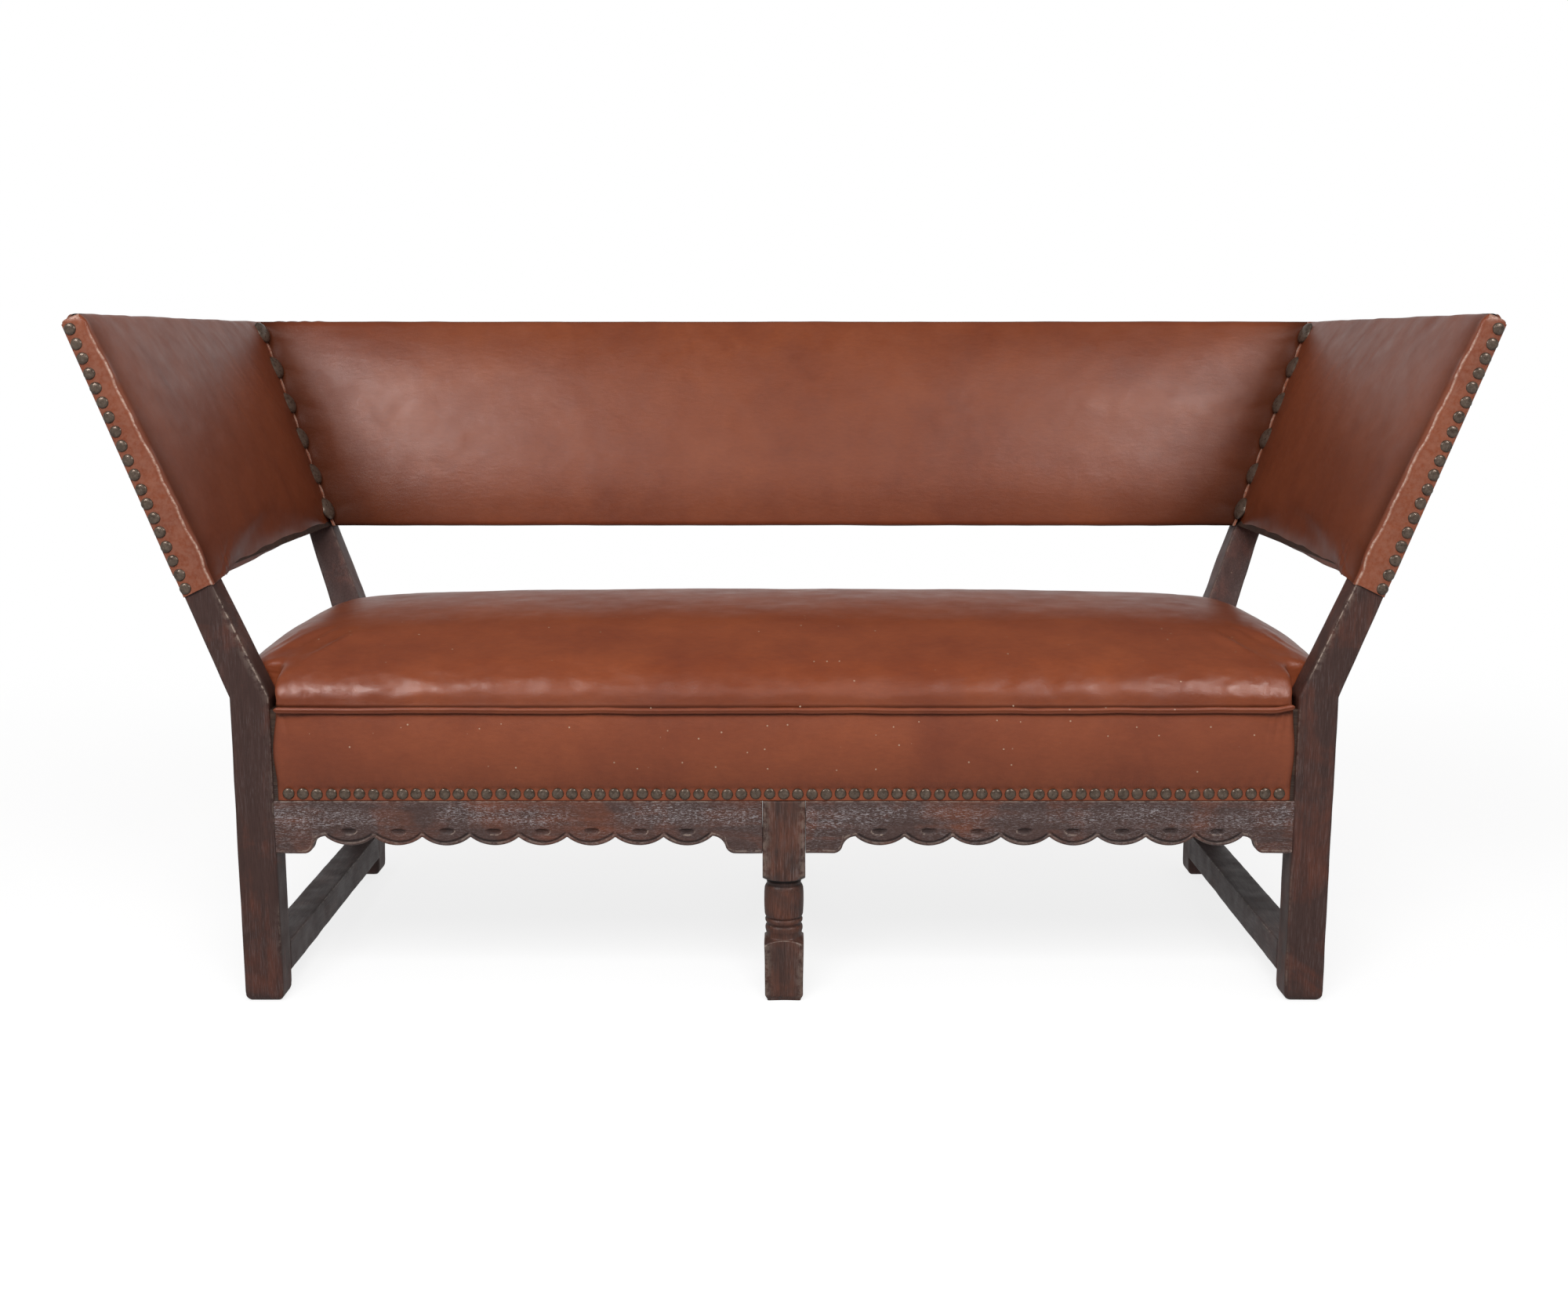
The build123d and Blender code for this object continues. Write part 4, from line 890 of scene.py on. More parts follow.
def arm_inner(z, share):
    """Padded inner face: it swells at once behind the ridge and dips at the corner nails."""
    rear_edge = inner_y(z) - CORNER_STANDOFF
    y = RIDGE_Y + (rear_edge - RIDGE_Y) * share
    on_tongue = z < PAD_START[1]
    base = LEATHER + PAD_RISE * smooth(*PAD_START, z)
    base = np.minimum(base + PAD_RISE * smooth(LEG_DEPTH, LEG_DEPTH + 0.03, y) * on_tongue, PAD_EDGE)
    front = 1 - np.exp(-np.maximum(0, y - RIDGE_Y) / 0.024)
    rear = 1 - np.exp(-(np.maximum(0, rear_edge - y) / 0.058) ** 1.35)
    flattened = (1 - smooth(LEG_DEPTH, 0.085, y)) * on_tongue * (1 - smooth(0.600, PAD_START[1], z))
    up = fullness((z - COVER_BOTTOM) / (TOP - COVER_BOTTOM))
    above = np.clip((z - arm_low_edge(y)) / ARM_LOW_TURN, 0, 1)
    drop = ARM_LOW_DEPTH * (1 - above) ** 2.0 * smooth(LEG_DEPTH, LEG_DEPTH + 0.05, y)
    return inner_x(z) - base - ARM_SWELL * front * rear * up * (1 - flattened) + drop, y


def arm_skin():
    """Points of the right arm's leather by rows, with its worn and held places and its painted shade."""
    turn_angles = (np.arange(TURN_COLUMNS) + 0.5) / TURN_COLUMNS * (math.pi / 2)
    kinds = np.repeat([FACING, TURN, INNER], [FACING_COLUMNS, TURN_COLUMNS, INNER_COLUMNS])
    facing, turn, inner = kinds == FACING, kinds == TURN, kinds == INNER
    columns = len(kinds)
    facing_shares = np.arange(FACING_COLUMNS) / FACING_COLUMNS
    inner_shares = np.linspace(0, 1, INNER_COLUMNS + 1)[1:] ** 0.97
    turned = TOP - ARM_TOP_TURN
    low = np.full(columns, TONGUE_INNER)
    low[facing] = TONGUE_OUTER + (TONGUE_INNER - TONGUE_OUTER) * facing_shares
    low[inner] = arm_low_edge(RIDGE_Y + (inner_y(0.60) - CORNER_STANDOFF - RIDGE_Y) * inner_shares)
    rows, held = [], []

    def row(z, hold, inward=0.0, tuck=0.0):
        points = np.zeros((columns, 3))
        points[facing, 0], points[facing, 1] = arm_facing(z[facing], facing_shares)
        points[turn, 0], points[turn, 1] = arm_turn(z[turn], turn_angles)
        points[inner, 0], points[inner, 1] = arm_inner(z[inner], inner_shares)
        points[facing, 1] += inward
        points[turn, 1] += inward * np.cos(turn_angles)
        points[turn, 0] += inward * np.sin(turn_angles)
        points[inner, 0] += inward
        points[facing, 0] = np.minimum(points[facing, 0], outer_x(z[facing]) - inward * 0.3)
        points[inner & (points[:, 1] > LEG_DEPTH + 0.012), 0] += tuck
        points[:, 2] = z
        rows.append(points)
        held.append(hold)

    for tuck, inset in ((0.022, 0.0016), (0.012, 0.0014), (0.005, 0.0010), (0.0015, 0.0004)):
        row(low + 0.0001, np.ones(columns), inward=inset, tuck=tuck)
    for level in two_steps(0.12, 14, 66):
        row(low + (turned - low) * level, np.select([facing, turn], [0.95, 0.9], 0.0))
        if level < 0.02:
            held[-1][rows[-1][:, 1] < LEG_DEPTH * 1.1] = 1
        held[-1][FACING_COLUMNS + TURN_COLUMNS] = 0.7
        held[-1][-3:] = 1
    for step, sine, cosine in quarter_turn(6):
        row(np.full(columns, turned + ARM_TOP_TURN * sine), np.where(inner, 0.15 * step, 1.0),
            inward=ARM_TOP_TURN * (1 - cosine) * 0.8)
    for inset in (0.012, 0.016, 0.020, 0.025, 0.031):
        row(np.full(columns, TOP), np.ones(columns), inward=inset)
    points = np.array(rows)
    near_front = 1 - smooth(0.0, CORNER_LENGTH, points[..., 1])
    outward = smooth(0.006, 0.025, points[..., 0] - inner_x(TOP))
    on_top = smooth(TOP - 0.004, TOP - 0.0005, points[..., 2])
    points[..., 2] -= CORNER_DROP * near_front * outward * on_top
    _, y, z = np.moveaxis(points, -1, 0)
    worn = np.zeros(z.shape)
    worn[:, turn] = ridge(turn_angles - 0.62, 0.28) * smooth(TOP - 0.012, TOP - 0.040, z[:, turn])
    worn[:, facing] = np.maximum(ridge(z[:, facing] - TOP, 0.008) * 0.8, 0.12)
    # Painted shade on the inner face: behind the ridge, at the rear corner, and darker towards the bottom
    deep = 0.04 + 0.42 * ridge(y - RIDGE_Y, 0.026) + 0.35 * ridge(inner_y(z) - CORNER_STANDOFF - y, 0.012)
    deep = (deep + 0.22 * smooth(TOP - 0.08, COVER_BOTTOM + 0.10, z)) * inner
    return points, {"worn": worn, "shade": deep}, np.array(held)


def arm_wrinkles(co, seed):
    """Shallow slanting creases that run towards the rear corner, and small puckers under the front edge."""
    y, z = co[:, 1], co[:, 2]
    total = np.zeros(len(co))
    rng = np.random.default_rng(seed)
    for _ in range(6):
        start_y = rng.uniform(0.30, 0.60)
        start_z = rng.uniform(0.84, 0.935)
        length = rng.uniform(0.08, 0.17)
        angle = rng.uniform(-1.15, -0.85)
        along = (y - start_y) * math.cos(angle) + (z - start_z) * math.sin(angle)
        across = -(y - start_y) * math.sin(angle) + (z - start_z) * math.cos(angle)
        across = across + 0.003 * np.sin(along * 34)
        fade = smooth(0, 0.03, along) * smooth(length, length - 0.05, along)
        total -= 0.00050 * fade * ridge(across, 0.0046)
        total += 0.00024 * fade * ridge(across - 0.010, 0.007)
    pucker = ridge(y - 0.078, 0.018) * smooth(0.655, 0.605, z) * (y > 0.01)
    total += 0.0012 * pucker * np.sin((y - 0.075) * 400 + z * 70)
    total += ripple(co, 0.055, seed, 2) * 0.0007 * smooth(0.0, 0.03, y)
    return total + ripple(co, 0.016, seed + 4) * 0.00010


arm_points, arm_marks, arm_hold = arm_skin()
arm_faces = grid_faces(*arm_hold.shape)
arm_right = build("arm_right_leather", arm_points, arm_faces, leather_arms, arm_marks, flip=True)
inflate(arm_right, arm_hold.ravel(), ARM_CAP)
arm_left = build("arm_left_leather", places(arm_right) * MIRROR, arm_faces, leather_arms, arm_marks)
for piece, label, seed in ((arm_right, "right", 61), (arm_left, "left", 74)):
    push(piece, arm_wrinkles(places(piece), seed))
    divide(piece)
    settle(piece, "leather_arms", "arm_cover_" + label, "arm_stuffing_" + label)


# Leather of the back: drawn in at both corners between the large nails, full in between

BACK_COLUMNS = 330
BACK_SWELL = 0.019
BACK_TOP_TURN = 0.009
BACK_LOW_TURN = 0.012
BACK_CAP = 0.005
TOP_BUMPS = (-0.888, -0.866, -0.842, -0.818)


def back_skin():
    """Points of the back's leather by rows, with its painted shade and held places."""
    spread = crowded(BACK_COLUMNS, 1.12)
    rows, held, dark = [], [], []

    def row(z, inset, hold, share):
        half = inner_x(z) - PAD_EDGE - 0.0003
        x = spread * half
        away = half - np.abs(x)
        draw = 1 - np.exp(-(away / (0.062 + 0.085 * (1 - share))) ** 1.3)
        nail_pull = near_corner_nail(z, 0.015)
        lift = 0.0030 * (1 - nail_pull) * ridge(away, 0.016) * fullness(share)
        y = inner_y(z) - PAD_EDGE - BACK_SWELL * draw * fullness(share, 0.75) - lift + inset
        rows.append(np.stack([x, y, np.full(BACK_COLUMNS, z)], -1))
        held.append(np.maximum(ridge(away, 0.006) * (0.4 + 0.6 * nail_pull), hold))
        # Painted shade: dark by both corners, reaching further out towards the bottom, and a little darker
        # low down
        hollow = 0.050 + 0.100 * (1 - share) ** 0.8
        dark.append(0.86 * np.exp(-(away / hollow) ** 1.7) + 0.12 * smooth(0.3, 0.0, share))

    for inset in (0.040, 0.030, 0.020):
        row(COVER_BOTTOM, inset, 1.0, 0.0)
    row(COVER_BOTTOM, BACK_LOW_TURN, 0.5, 0.0)
    for step, sine, cosine in quarter_turn(5):
        row(COVER_BOTTOM + BACK_LOW_TURN * (1 - cosine), BACK_LOW_TURN * (1 - sine), 0.5, 0.004 * step)
    for level in np.linspace(0, 1, 76)[1:]:
        z = COVER_BOTTOM + BACK_LOW_TURN + (TOP - BACK_TOP_TURN - COVER_BOTTOM - BACK_LOW_TURN) * level
        row(z, 0.0, 0.0, (z - COVER_BOTTOM) / (TOP - COVER_BOTTOM))
    for step, sine, cosine in quarter_turn(5):
        row(TOP - BACK_TOP_TURN + BACK_TOP_TURN * sine, BACK_TOP_TURN * (1 - cosine), 0.3 + 0.1 * step,
            1 - (BACK_TOP_TURN * (1 - sine) + 0.0008) / 0.35)
    for inset in (0.014, 0.021, 0.030):
        row(TOP, inset, 1.0, 0.9985)
    return np.array(rows), {"shade": np.array(dark)}, np.array(held)


def back_waves(co):
    """Slow waves all over, pleats that run in from the corner nails, and bumps over the top rail's nails."""
    x, _, z = co.T
    away = inner_x(z) - PAD_EDGE - np.abs(x)
    total = ripple(co, 0.09, 31, 2) * 0.0007 + ripple(co, 0.018, 35) * 0.00018
    pleat = np.zeros(len(co))
    for nail in CORNER_NAILS:
        pleat += ridge((z - nail) - 0.22 * away * np.sign(0.77 - nail), 0.004 + away * 0.10)
    total -= 0.0011 * pleat * ridge(away, 0.05) * smooth(0.0, 0.008, away)
    for at in TOP_BUMPS:
        total += 0.0014 * ridge(x - at, 0.006) * smooth(TOP - 0.006, TOP - 0.001, z)
    return total


back_points, back_marks, back_hold = back_skin()
back = build("back_leather", back_points, grid_faces(*back_hold.shape), leather_back, back_marks)
inflate(back, back_hold.ravel(), BACK_CAP)
push(back, back_waves(places(back)))
divide(back)
settle(back, "leather_back", "back_cover", "back_stuffing")


# Seat: a crowned cushion cut out round the posts, blown up a little under its leather

SEAT_MIDDLE_Y = 0.325
SEAT_HALF = (0.7660, 0.3370)
SEAT_LOW = DECK_TOP - 0.0005
SEAT_CROWN = 0.1015
SEAT_BOW = 0.0105
SEAT_SIDE_POWER = 2.6
SEAT_END_POWER = 12.0
SEAT_ROUNDING = 2.4
SEAT_END_ROUNDING = 4.0
SEAT_CROWDING = 1.75
SEAT_CAP = 0.0045
POST_CLEARANCE = 0.0065
SEAT_TUCKS = [
    (-0.650, 0.0030, 0.0022, 0.020), (-0.290, 0.004, 0.0008, 0.035), (-0.350, 0.005, 0.0007, 0.035),
    (-0.200, 0.004, 0.0007, 0.030), (0.640, 0.0035, 0.0018, 0.022), (0.668, 0.0030, 0.0014, 0.018),
]


def seat_outline():
    """Plan of the seat's right rear quarter as angle and reach from the middle, cut out at the post."""
    half_x, half_y = SEAT_HALF
    notch_x = LEG_INNER - POST_CLEARANCE
    notch_y = SEAT_MIDDLE_Y - LEG_DEPTH - POST_CLEARANCE
    turns = [(half_x, 0.0)]
    for x, y, r, first, last in ((half_x - 0.014, notch_y - 0.014, 0.014, 0, math.pi / 2),
                                 (notch_x + 0.008, notch_y + 0.008, 0.008, -math.pi / 2, -math.pi),
                                 (notch_x - 0.016, half_y - 0.016, 0.016, 0, math.pi / 2)):
        turns += [(x + r * math.cos(a), y + r * math.sin(a)) for a in np.linspace(first, last, 12)]
    outline = np.array(turns + [(0.0, half_y)])
    return np.arctan2(outline[:, 1] / half_y, outline[:, 0] / half_x), np.hypot(*outline.T)


def seat_skin():
    """Points of the seat's leather by rows, and how firmly each is held."""
    v, u = np.meshgrid(crowded(104, SEAT_CROWDING), crowded(236, SEAT_CROWDING), indexing="ij")
    x, y = u * SEAT_HALF[0], v * SEAT_HALF[1]
    over_depth = np.clip(1 - np.abs(v) ** SEAT_SIDE_POWER, 0, 1) ** (1 / SEAT_ROUNDING)
    over_length = np.clip(1 - np.abs(u) ** SEAT_END_POWER, 0, 1) ** (1 / SEAT_END_ROUNDING)
    reach = np.hypot(x, y) + 1e-9
    limit = np.interp(np.arctan2(np.abs(v), np.abs(u)), *seat_outline())
    square = np.minimum(SEAT_HALF[0] / (np.abs(x) / reach + 1e-9), SEAT_HALF[1] / (np.abs(y) / reach + 1e-9))
    notched = smooth(0.001, 0.016, square - limit)
    inside = np.clip((limit - reach) / 0.016, 0, 1)
    shoulder = 1 - np.sqrt(1 - (1 - inside) ** 2)
    height = over_depth * over_length * (1 - 0.07 * shoulder * notched)
    scale = np.minimum(1, limit / reach)
    x, y = x * scale, y * scale
    z = SEAT_LOW + (SEAT_CROWN - SEAT_BOW * u ** 2) * height
    tuck = 0.0055 * (1 - smooth(0, 0.016, z - SEAT_LOW))
    edge = np.clip((reach * scale / limit - 0.9) / 0.1, 0, 1)
    x = x - np.sign(x) * tuck * edge * np.clip((np.abs(u) - 0.90) * 10, 0, 1) * 0.5
    y = y - np.sign(y) * tuck * edge * np.clip((np.abs(v) - 0.80) * 5, 0, 1)
    points = np.stack([x, y + SEAT_MIDDLE_Y, z], -1)
    for _ in range(3):
        middle = (points[:-2, 1:-1] + points[2:, 1:-1] + points[1:-1, :-2] + points[1:-1, 2:]) / 4
        points[1:-1, 1:-1] += (middle - points[1:-1, 1:-1]) * 0.5
    hold = 0.9 * smooth(0.012, 0.002, z - SEAT_LOW)
    hold[[0, -1], :] = 1
    hold[:, [0, -1]] = 1
    return points, hold


def seat_waves(co):
    """The leather's slow waves, the shine's broken patches on the front roll and a few short tucks."""
    x, y, z = co.T
    front = (y < 0.07) * smooth(SEAT_LOW + 0.008, SEAT_LOW + 0.020, z) * smooth(0.500, 0.470, z)
    total = ripple(co, 0.10, 51, 2) * 0.0009 * smooth(0.43, 0.46, z)
    total += ripple(co * np.array([0.8, 1.0, 1.4]), 0.026, 52, 2) * 0.0010 * front
    total += ripple(co * np.array([1.3, 1.0, 0.7]), 0.010, 57) * (0.00022 + 0.00046 * front)
    for at, width, depth, reach in SEAT_TUCKS:
        line = ridge(x - at - 0.10 * (z - 0.44), width)
        total -= depth * line * smooth(SEAT_LOW + reach + 0.012, SEAT_LOW + reach, z) * (y < 0.05)
    return total


seat_points, seat_hold = seat_skin()
seat = build("seat_leather", seat_points, grid_faces(*seat_hold.shape), leather_seat)
inflate(seat, seat_hold.ravel(), SEAT_CAP, stiffness=12.0)
push(seat, seat_waves(places(seat)) + 0.0005)
divide(seat)
# Painted shade: dark just above the piping, and a little darker up to 30 mm above it
above_cord = places(seat)[:, 2] - SEAT_LOW
mark(seat, "shade", 0.9 * smooth(0.0085, 0.0050, above_cord) + 0.22 * smooth(0.030, 0.010, above_cord))
settle(seat, "leather_seat", "seat_cover", "seat_stuffing")


# Leather bands over the rails, with the nails' small dents and the draw at both ends

LONG_HALF = LEG_INNER - 0.005
SHORT_HALF = (BASE_DEPTH - 2 * LEG_DEPTH) / 2 - 0.001
NAIL_END_GAP = 0.009
NAIL_LINE = RAIL_BOTTOM + 0.0106
BAND_SWELL = 0.0135
BAND_CREASES = [(0.672, 1.0), (0.684, 0.8), (-0.680, 0.8), (0.660, 0.5)]


def row_places(half):
    """Places of a row of nails at their pitch, centred within a half length."""
    count = int(2 * half / NAIL_PITCH) + 1
    return [(index - (count - 1) / 2) * NAIL_PITCH for index in range(count)]


def beside_legs(side, along, out, z):
    """Places on one side of the seat, so far along it and so far out from the legs' outer faces."""
    x, y = {"front": (along, -out), "rear": (-along, BASE_DEPTH + out),
            "right": (LEG_OUTER + out, BASE_DEPTH / 2 + along),
            "left": (-LEG_OUTER - out, BASE_DEPTH / 2 - along)}[side]
    return np.stack(np.broadcast_arrays(x, y, z), -1)


def band(side, half, columns, seed):
    """The leather over one rail. The long ones also have creases near their ends."""
    node = "seat_band_" + side
    is_long = half == LONG_HALF
    nails_at = np.array(row_places(half - NAIL_END_GAP))
    along = crowded(columns, 1.25) * half
    away = half - np.abs(along)
    nearest = np.abs(along[:, None] - nails_at[None, :]).min(axis=1)
    ends = 0.05 + 0.95 * np.sqrt(1 - np.clip(1 - away / 0.010, 0, 1) ** 2)
    tight = 0.62 + 0.38 * smooth(0, 0.09, away)
    between_nails = np.cos(2 * math.pi * (along - nails_at[0]) / NAIL_PITCH)
    rows = [beside_legs(side, along, -0.0015 - RAIL_SETBACK, RAIL_BOTTOM + 0.0002)]
    shade = []
    for level in two_steps(0.16, 9, 44):
        z = RAIL_BOTTOM + 0.0004 + (DECK_TOP + 0.001 - RAIL_BOTTOM) * level
        t = np.clip((z - RAIL_BOTTOM - 0.018) / (RAIL_TOP - RAIL_BOTTOM - 0.018), 0, 1)
        swell = 0.0030 + BAND_SWELL * math.sin(math.pi * t ** 0.92 * 0.86) ** 0.85
        dent = ridge(nearest, 0.0075) * ridge(z - 0.2996, 0.010)
        out = -0.0010 + (swell * tight + 0.0016) * ends - 0.0017 * dent
        out = out - 0.00045 * between_nails * ridge(z - 0.318, 0.009)
        stretch = 1 + (0.0052 * math.sin(math.pi * t) ** 2 - 0.003 * t) * is_long
        rows.append(beside_legs(side, along * stretch, out - RAIL_SETBACK, z))
        # Painted shade: dark under the piping and at the ends by the posts, faint above the nails
        by_cord, by_end, above_nails = ridge(DECK_TOP - z, 0.006), ridge(away, 0.006), ridge(z - 0.325, 0.03)
        shade.append(0.55 * by_cord + 0.25 * by_end + 0.06 * above_nails)
    points = np.array(rows)
    piece = build(node + "_leather", points, grid_faces(*points.shape[:2]), leather_band,
                  {"shade": np.array(shade[:1] + shade)})
    co = places(piece)
    amount = ripple(co, 0.07, seed, 2) * 0.0006 + ripple(co, 0.015, seed + 2) * 0.0002
    if is_long:
        for at, depth in BAND_CREASES:
            line = ridge(co[:, 0] - at - math.copysign(0.16, at) * (co[:, 2] - 0.41), 0.0032)
            amount -= 0.0016 * depth * line * smooth(0.362, 0.40, co[:, 2])
    push(piece, amount * smooth(0.300, 0.325, co[:, 2]))
    divide(piece)
    settle(piece, "leather_band", node)


band("front", LONG_HALF, 420, 81)
band("rear", LONG_HALF, 420, 84)
band("right", SHORT_HALF, 180, 87)
band("left", SHORT_HALF, 180, 90)


# Piping: a covered cord with its seam, laid along the edge between band and seat

WELT_RADIUS = 0.0043
WELT_STEP = 0.0035


def joined(parts):
    """Points and faces of several parts as one."""
    all_points, all_faces, offset = [], [], 0
    for points, faces in parts:
        all_points.append(points.reshape(-1, 3))
        all_faces += shifted(faces, offset)
        offset += len(all_points[-1])
    return np.concatenate(all_points), all_faces


def welt_run(side, half, out, lift, seed):
    """One stretch of the piping as rings, lifted at its right end, with its dark seam."""
    along = np.linspace(-half, half, int(2 * half / WELT_STEP))
    line = np.stack([along, along * 0, along * 0], -1)
    height = DECK_TOP + ripple(line, 0.05, seed, 2) * 0.0007 + lift * smooth(half - 0.030, half, along)
    radius = WELT_RADIUS + ripple(line, 0.02, seed + 1) * 0.0002
    end = np.sqrt(np.clip((half - np.abs(along)) / 0.004, 0.02, 1))
    a, u = np.meshgrid(np.linspace(0, 2 * math.pi, 14, endpoint=False), along)
    r = (radius * end)[:, None] * (1 - 0.05 * np.cos(2 * a))
    points = beside_legs(side, u, out + r * np.cos(a), height[:, None] + r * np.sin(a))
    return points, ridge(np.sin((a + 0.05) / 2), 0.10) * 0.6


welt_runs = [welt_run("front", LONG_HALF - 0.003, 0.0100, 0.0042, 101),
             welt_run("rear", LONG_HALF - 0.003, 0.0102, 0.0, 104),
             welt_run("right", SHORT_HALF, 0.0102, 0.0, 107),
             welt_run("left", SHORT_HALF, 0.0102, 0.0, 110)]
welt_points, welt_faces = joined([(points, tube_faces(*seam.shape)) for points, seam in welt_runs])
welt = build("seat_welt_piping", welt_points, welt_faces, leather_band,
             {"shade": np.concatenate([seam.ravel() for _, seam in welt_runs])})
divide(welt)
settle(welt, "leather_band", "seat_welt")


# Outside leathers: stretched over the frame and nailed along their edges

def outside_skin(node, corners, away, columns, seed, flip):
    """A stretched leather whose inner face is given by two shares, its thickness along one direction."""
    rows = 60
    u, v = np.meshgrid(np.linspace(0, 1, columns), np.linspace(0, 1, rows))
    inner = corners(u, v)
    from_edge = np.minimum(np.minimum(u, 1 - u) * columns, np.minimum(v, 1 - v) * rows)
    full = smooth(0, 12, from_edge)
    away = np.array(away) * LEATHER
    outer = inner + away * (0.55 + 0.45 * full)[..., None]
    outer = outer + away / LEATHER * (ripple(outer, 0.12, seed, 2) * 0.0006 * full)[..., None]
    # Painted shade along the edges
    edge = (1 - smooth(0, 3, from_edge)) * 0.3
    piece = build(node + "_leather", *closed_sheet(outer, inner), leather_outside,
                  {"shade": np.stack([edge, 0 * edge])}, flip=flip)
    return settle(piece, "leather_outside", node)


def back_corners(u, v):
    z = COVER_BOTTOM + (TOP - COVER_BOTTOM) * v
    return np.stack([outer_x(z) * (2 * u - 1), rear_y(z), z], -1)


def arm_corners(u, v):
    top = TOP - CORNER_DROP * (1 - smooth(0.0, CORNER_LENGTH / float(rear_y(TOP)), u))
    z = COVER_BOTTOM + (top - COVER_BOTTOM) * v
    return np.stack([outer_x(z), -LEATHER + (rear_y(z) + 2 * LEATHER) * u, z], -1)


def left_arm_corners(u, v):
    return arm_corners(u, v) * MIRROR


outside_back = outside_skin("outside_back", back_corners, (0, 1, 0), 240, 121, True)
outside_right = outside_skin("outside_arm_right", arm_corners, (1, 0, 0), 110, 124, False)
outside_left = outside_skin("outside_arm_left", left_arm_corners, (-1, 0, 0), 110, 127, True)


# Strips in the inner corners, drawn narrow between the nails

def corner_strip(label, side, seed):
    rows, columns = 120, 9
    z = np.linspace(COVER_BOTTOM + 0.002, TOP - 0.0005, rows)[:, None]
    share = np.linspace(0, 1, columns)
    near = near_corner_nail(z, 0.017)
    y = inner_y(z) - PAD_EDGE - 0.0015 - (0.0085 + 0.0115 * near) * share
    lift = 0.0016 * np.sin(math.pi * share) ** 0.6 * (1.5 - near) + 0.0020 * (1 - near) * (1 - share)
    x = inner_x(z) - PAD_EDGE - 0.0002 - lift
    points = np.stack([x * side, y, z + 0 * share], -1)
    points = points + (ripple(points, 0.012, seed) * 0.0004)[..., None] * np.array([-side, 0, 0])
    worn = ridge(share - 0.5, 0.3) * (1 - near)
    piece = build("corner_strip_" + label + "_leather", points, grid_faces(rows, columns), leather_arms,
                  {"worn": worn}, flip=side < 0)
    divide(piece)
    settle(piece, "leather_arms", "corner_strip_" + label)


corner_strip("right", 1, 131)
corner_strip("left", -1, 134)


# Nails: domed heads, each a little off true

DOME_RINGS = 8
DOME_POINTS = 22


def nail_head(place, facing, radius, height, rng):
    """Points of one head: rings from its rim up to the point on its crown."""
    facing = np.array(facing, float) / np.linalg.norm(facing)
    facing = facing + rng.normal(0, 0.035, 3)
    facing /= np.linalg.norm(facing)
    a = np.cross((0, 0, 1.0), facing)
    a /= np.linalg.norm(a)
    b = np.cross(facing, a)
    stray = a * rng.normal(0, 0.00028) + b * rng.normal(0, 0.00028)
    place = np.array(place, float) + stray * radius / NAIL_RADIUS
    size = radius * (1 + rng.normal(0, 0.012))
    tall = height * (1 + rng.normal(0, 0.04))
    oval = 1 + rng.normal(0, 0.012)
    angles = np.linspace(0, 2 * math.pi, DOME_POINTS, endpoint=False)
    rings = []
    for level in dome_levels:
        up = facing * tall * math.sqrt(1 - (level * 0.97) ** 2.6)
        r = size * level * (1 + 0.012 * np.sin(angles * 3 + rng.uniform(0, 6)))
        ring = np.outer(r * oval * np.cos(angles), a) + np.outer(r / oval * np.sin(angles), b)
        rings.append(place + ring + up)
    return np.concatenate(rings + [[place + facing * tall]])


dome_levels = np.linspace(1, 0, DOME_RINGS + 1)[:-1]
dome_last = (DOME_RINGS - 1) * DOME_POINTS
dome_faces = grid_faces(DOME_RINGS, DOME_POINTS, close_columns=True).tolist()
dome_faces += [[dome_last + i, dome_last + (i + 1) % DOME_POINTS, dome_last + DOME_POINTS]
               for i in range(DOME_POINTS)]


def nails(node, spots, seed, radius=NAIL_RADIUS, height=NAIL_HEIGHT):
    """Heads at spots, each a place and the direction that it faces."""
    rng = np.random.default_rng(seed)
    points, faces = joined([(nail_head(*spot, radius, height, rng), dome_faces) for spot in spots])
    rim = np.tile(np.append(np.repeat(dome_levels, DOME_POINTS), 0), len(spots))
    settle(build(node + "_heads", points, faces, nail_bronze, {"rim": rim}), "nail_bronze", node)


BAND_FACE = RAIL_SETBACK - LEATHER
long_row, short_row = row_places(LONG_HALF - NAIL_END_GAP), row_places(SHORT_HALF - NAIL_END_GAP)
nails("seat_nails_front", [((x, BAND_FACE, NAIL_LINE), (0, -1, 0)) for x in long_row], 201)
nails("seat_nails_rear", [((x, BASE_DEPTH - BAND_FACE, NAIL_LINE), (0, 1, 0)) for x in long_row], 202)
ARM_NAIL_ENDS = (TOP - 0.020, TONGUE_OUTER + 0.012)
arm_heights = np.linspace(*ARM_NAIL_ENDS, round((ARM_NAIL_ENDS[0] - ARM_NAIL_ENDS[1]) / 0.019) + 1)
inner_slope = (float(inner_x(POST_TOP)) - LEG_INNER) / (POST_TOP - KINK)
for side, label in ((1, "right"), (-1, "left")):
    seat_row = [(side * (LEG_OUTER - BAND_FACE), BASE_DEPTH / 2 + y, NAIL_LINE) for y in short_row]
    arm_row = [(side * (float(outer_x(z)) - NAIL_RADIUS), -LEATHER - 0.0004, z) for z in arm_heights]
    nails("seat_nails_" + label, [(place, (side, 0, 0)) for place in seat_row], 205 + side)
    nails("arm_nails_" + label, [(place, (0, -1, 0)) for place in arm_row], 211 + side)
    nails("corner_nails_" + label,
          [((side * (float(inner_x(z)) - PAD_EDGE - 0.0022), float(inner_y(z)) - PAD_EDGE - 0.021, z),
            (-side * 0.97, -0.25, inner_slope)) for z in CORNER_NAILS],
          221 + side, CORNER_NAIL_RADIUS, CORNER_NAIL_HEIGHT)
rear_slope = (float(rear_y(POST_TOP)) - BASE_DEPTH) / (POST_TOP - KINK)
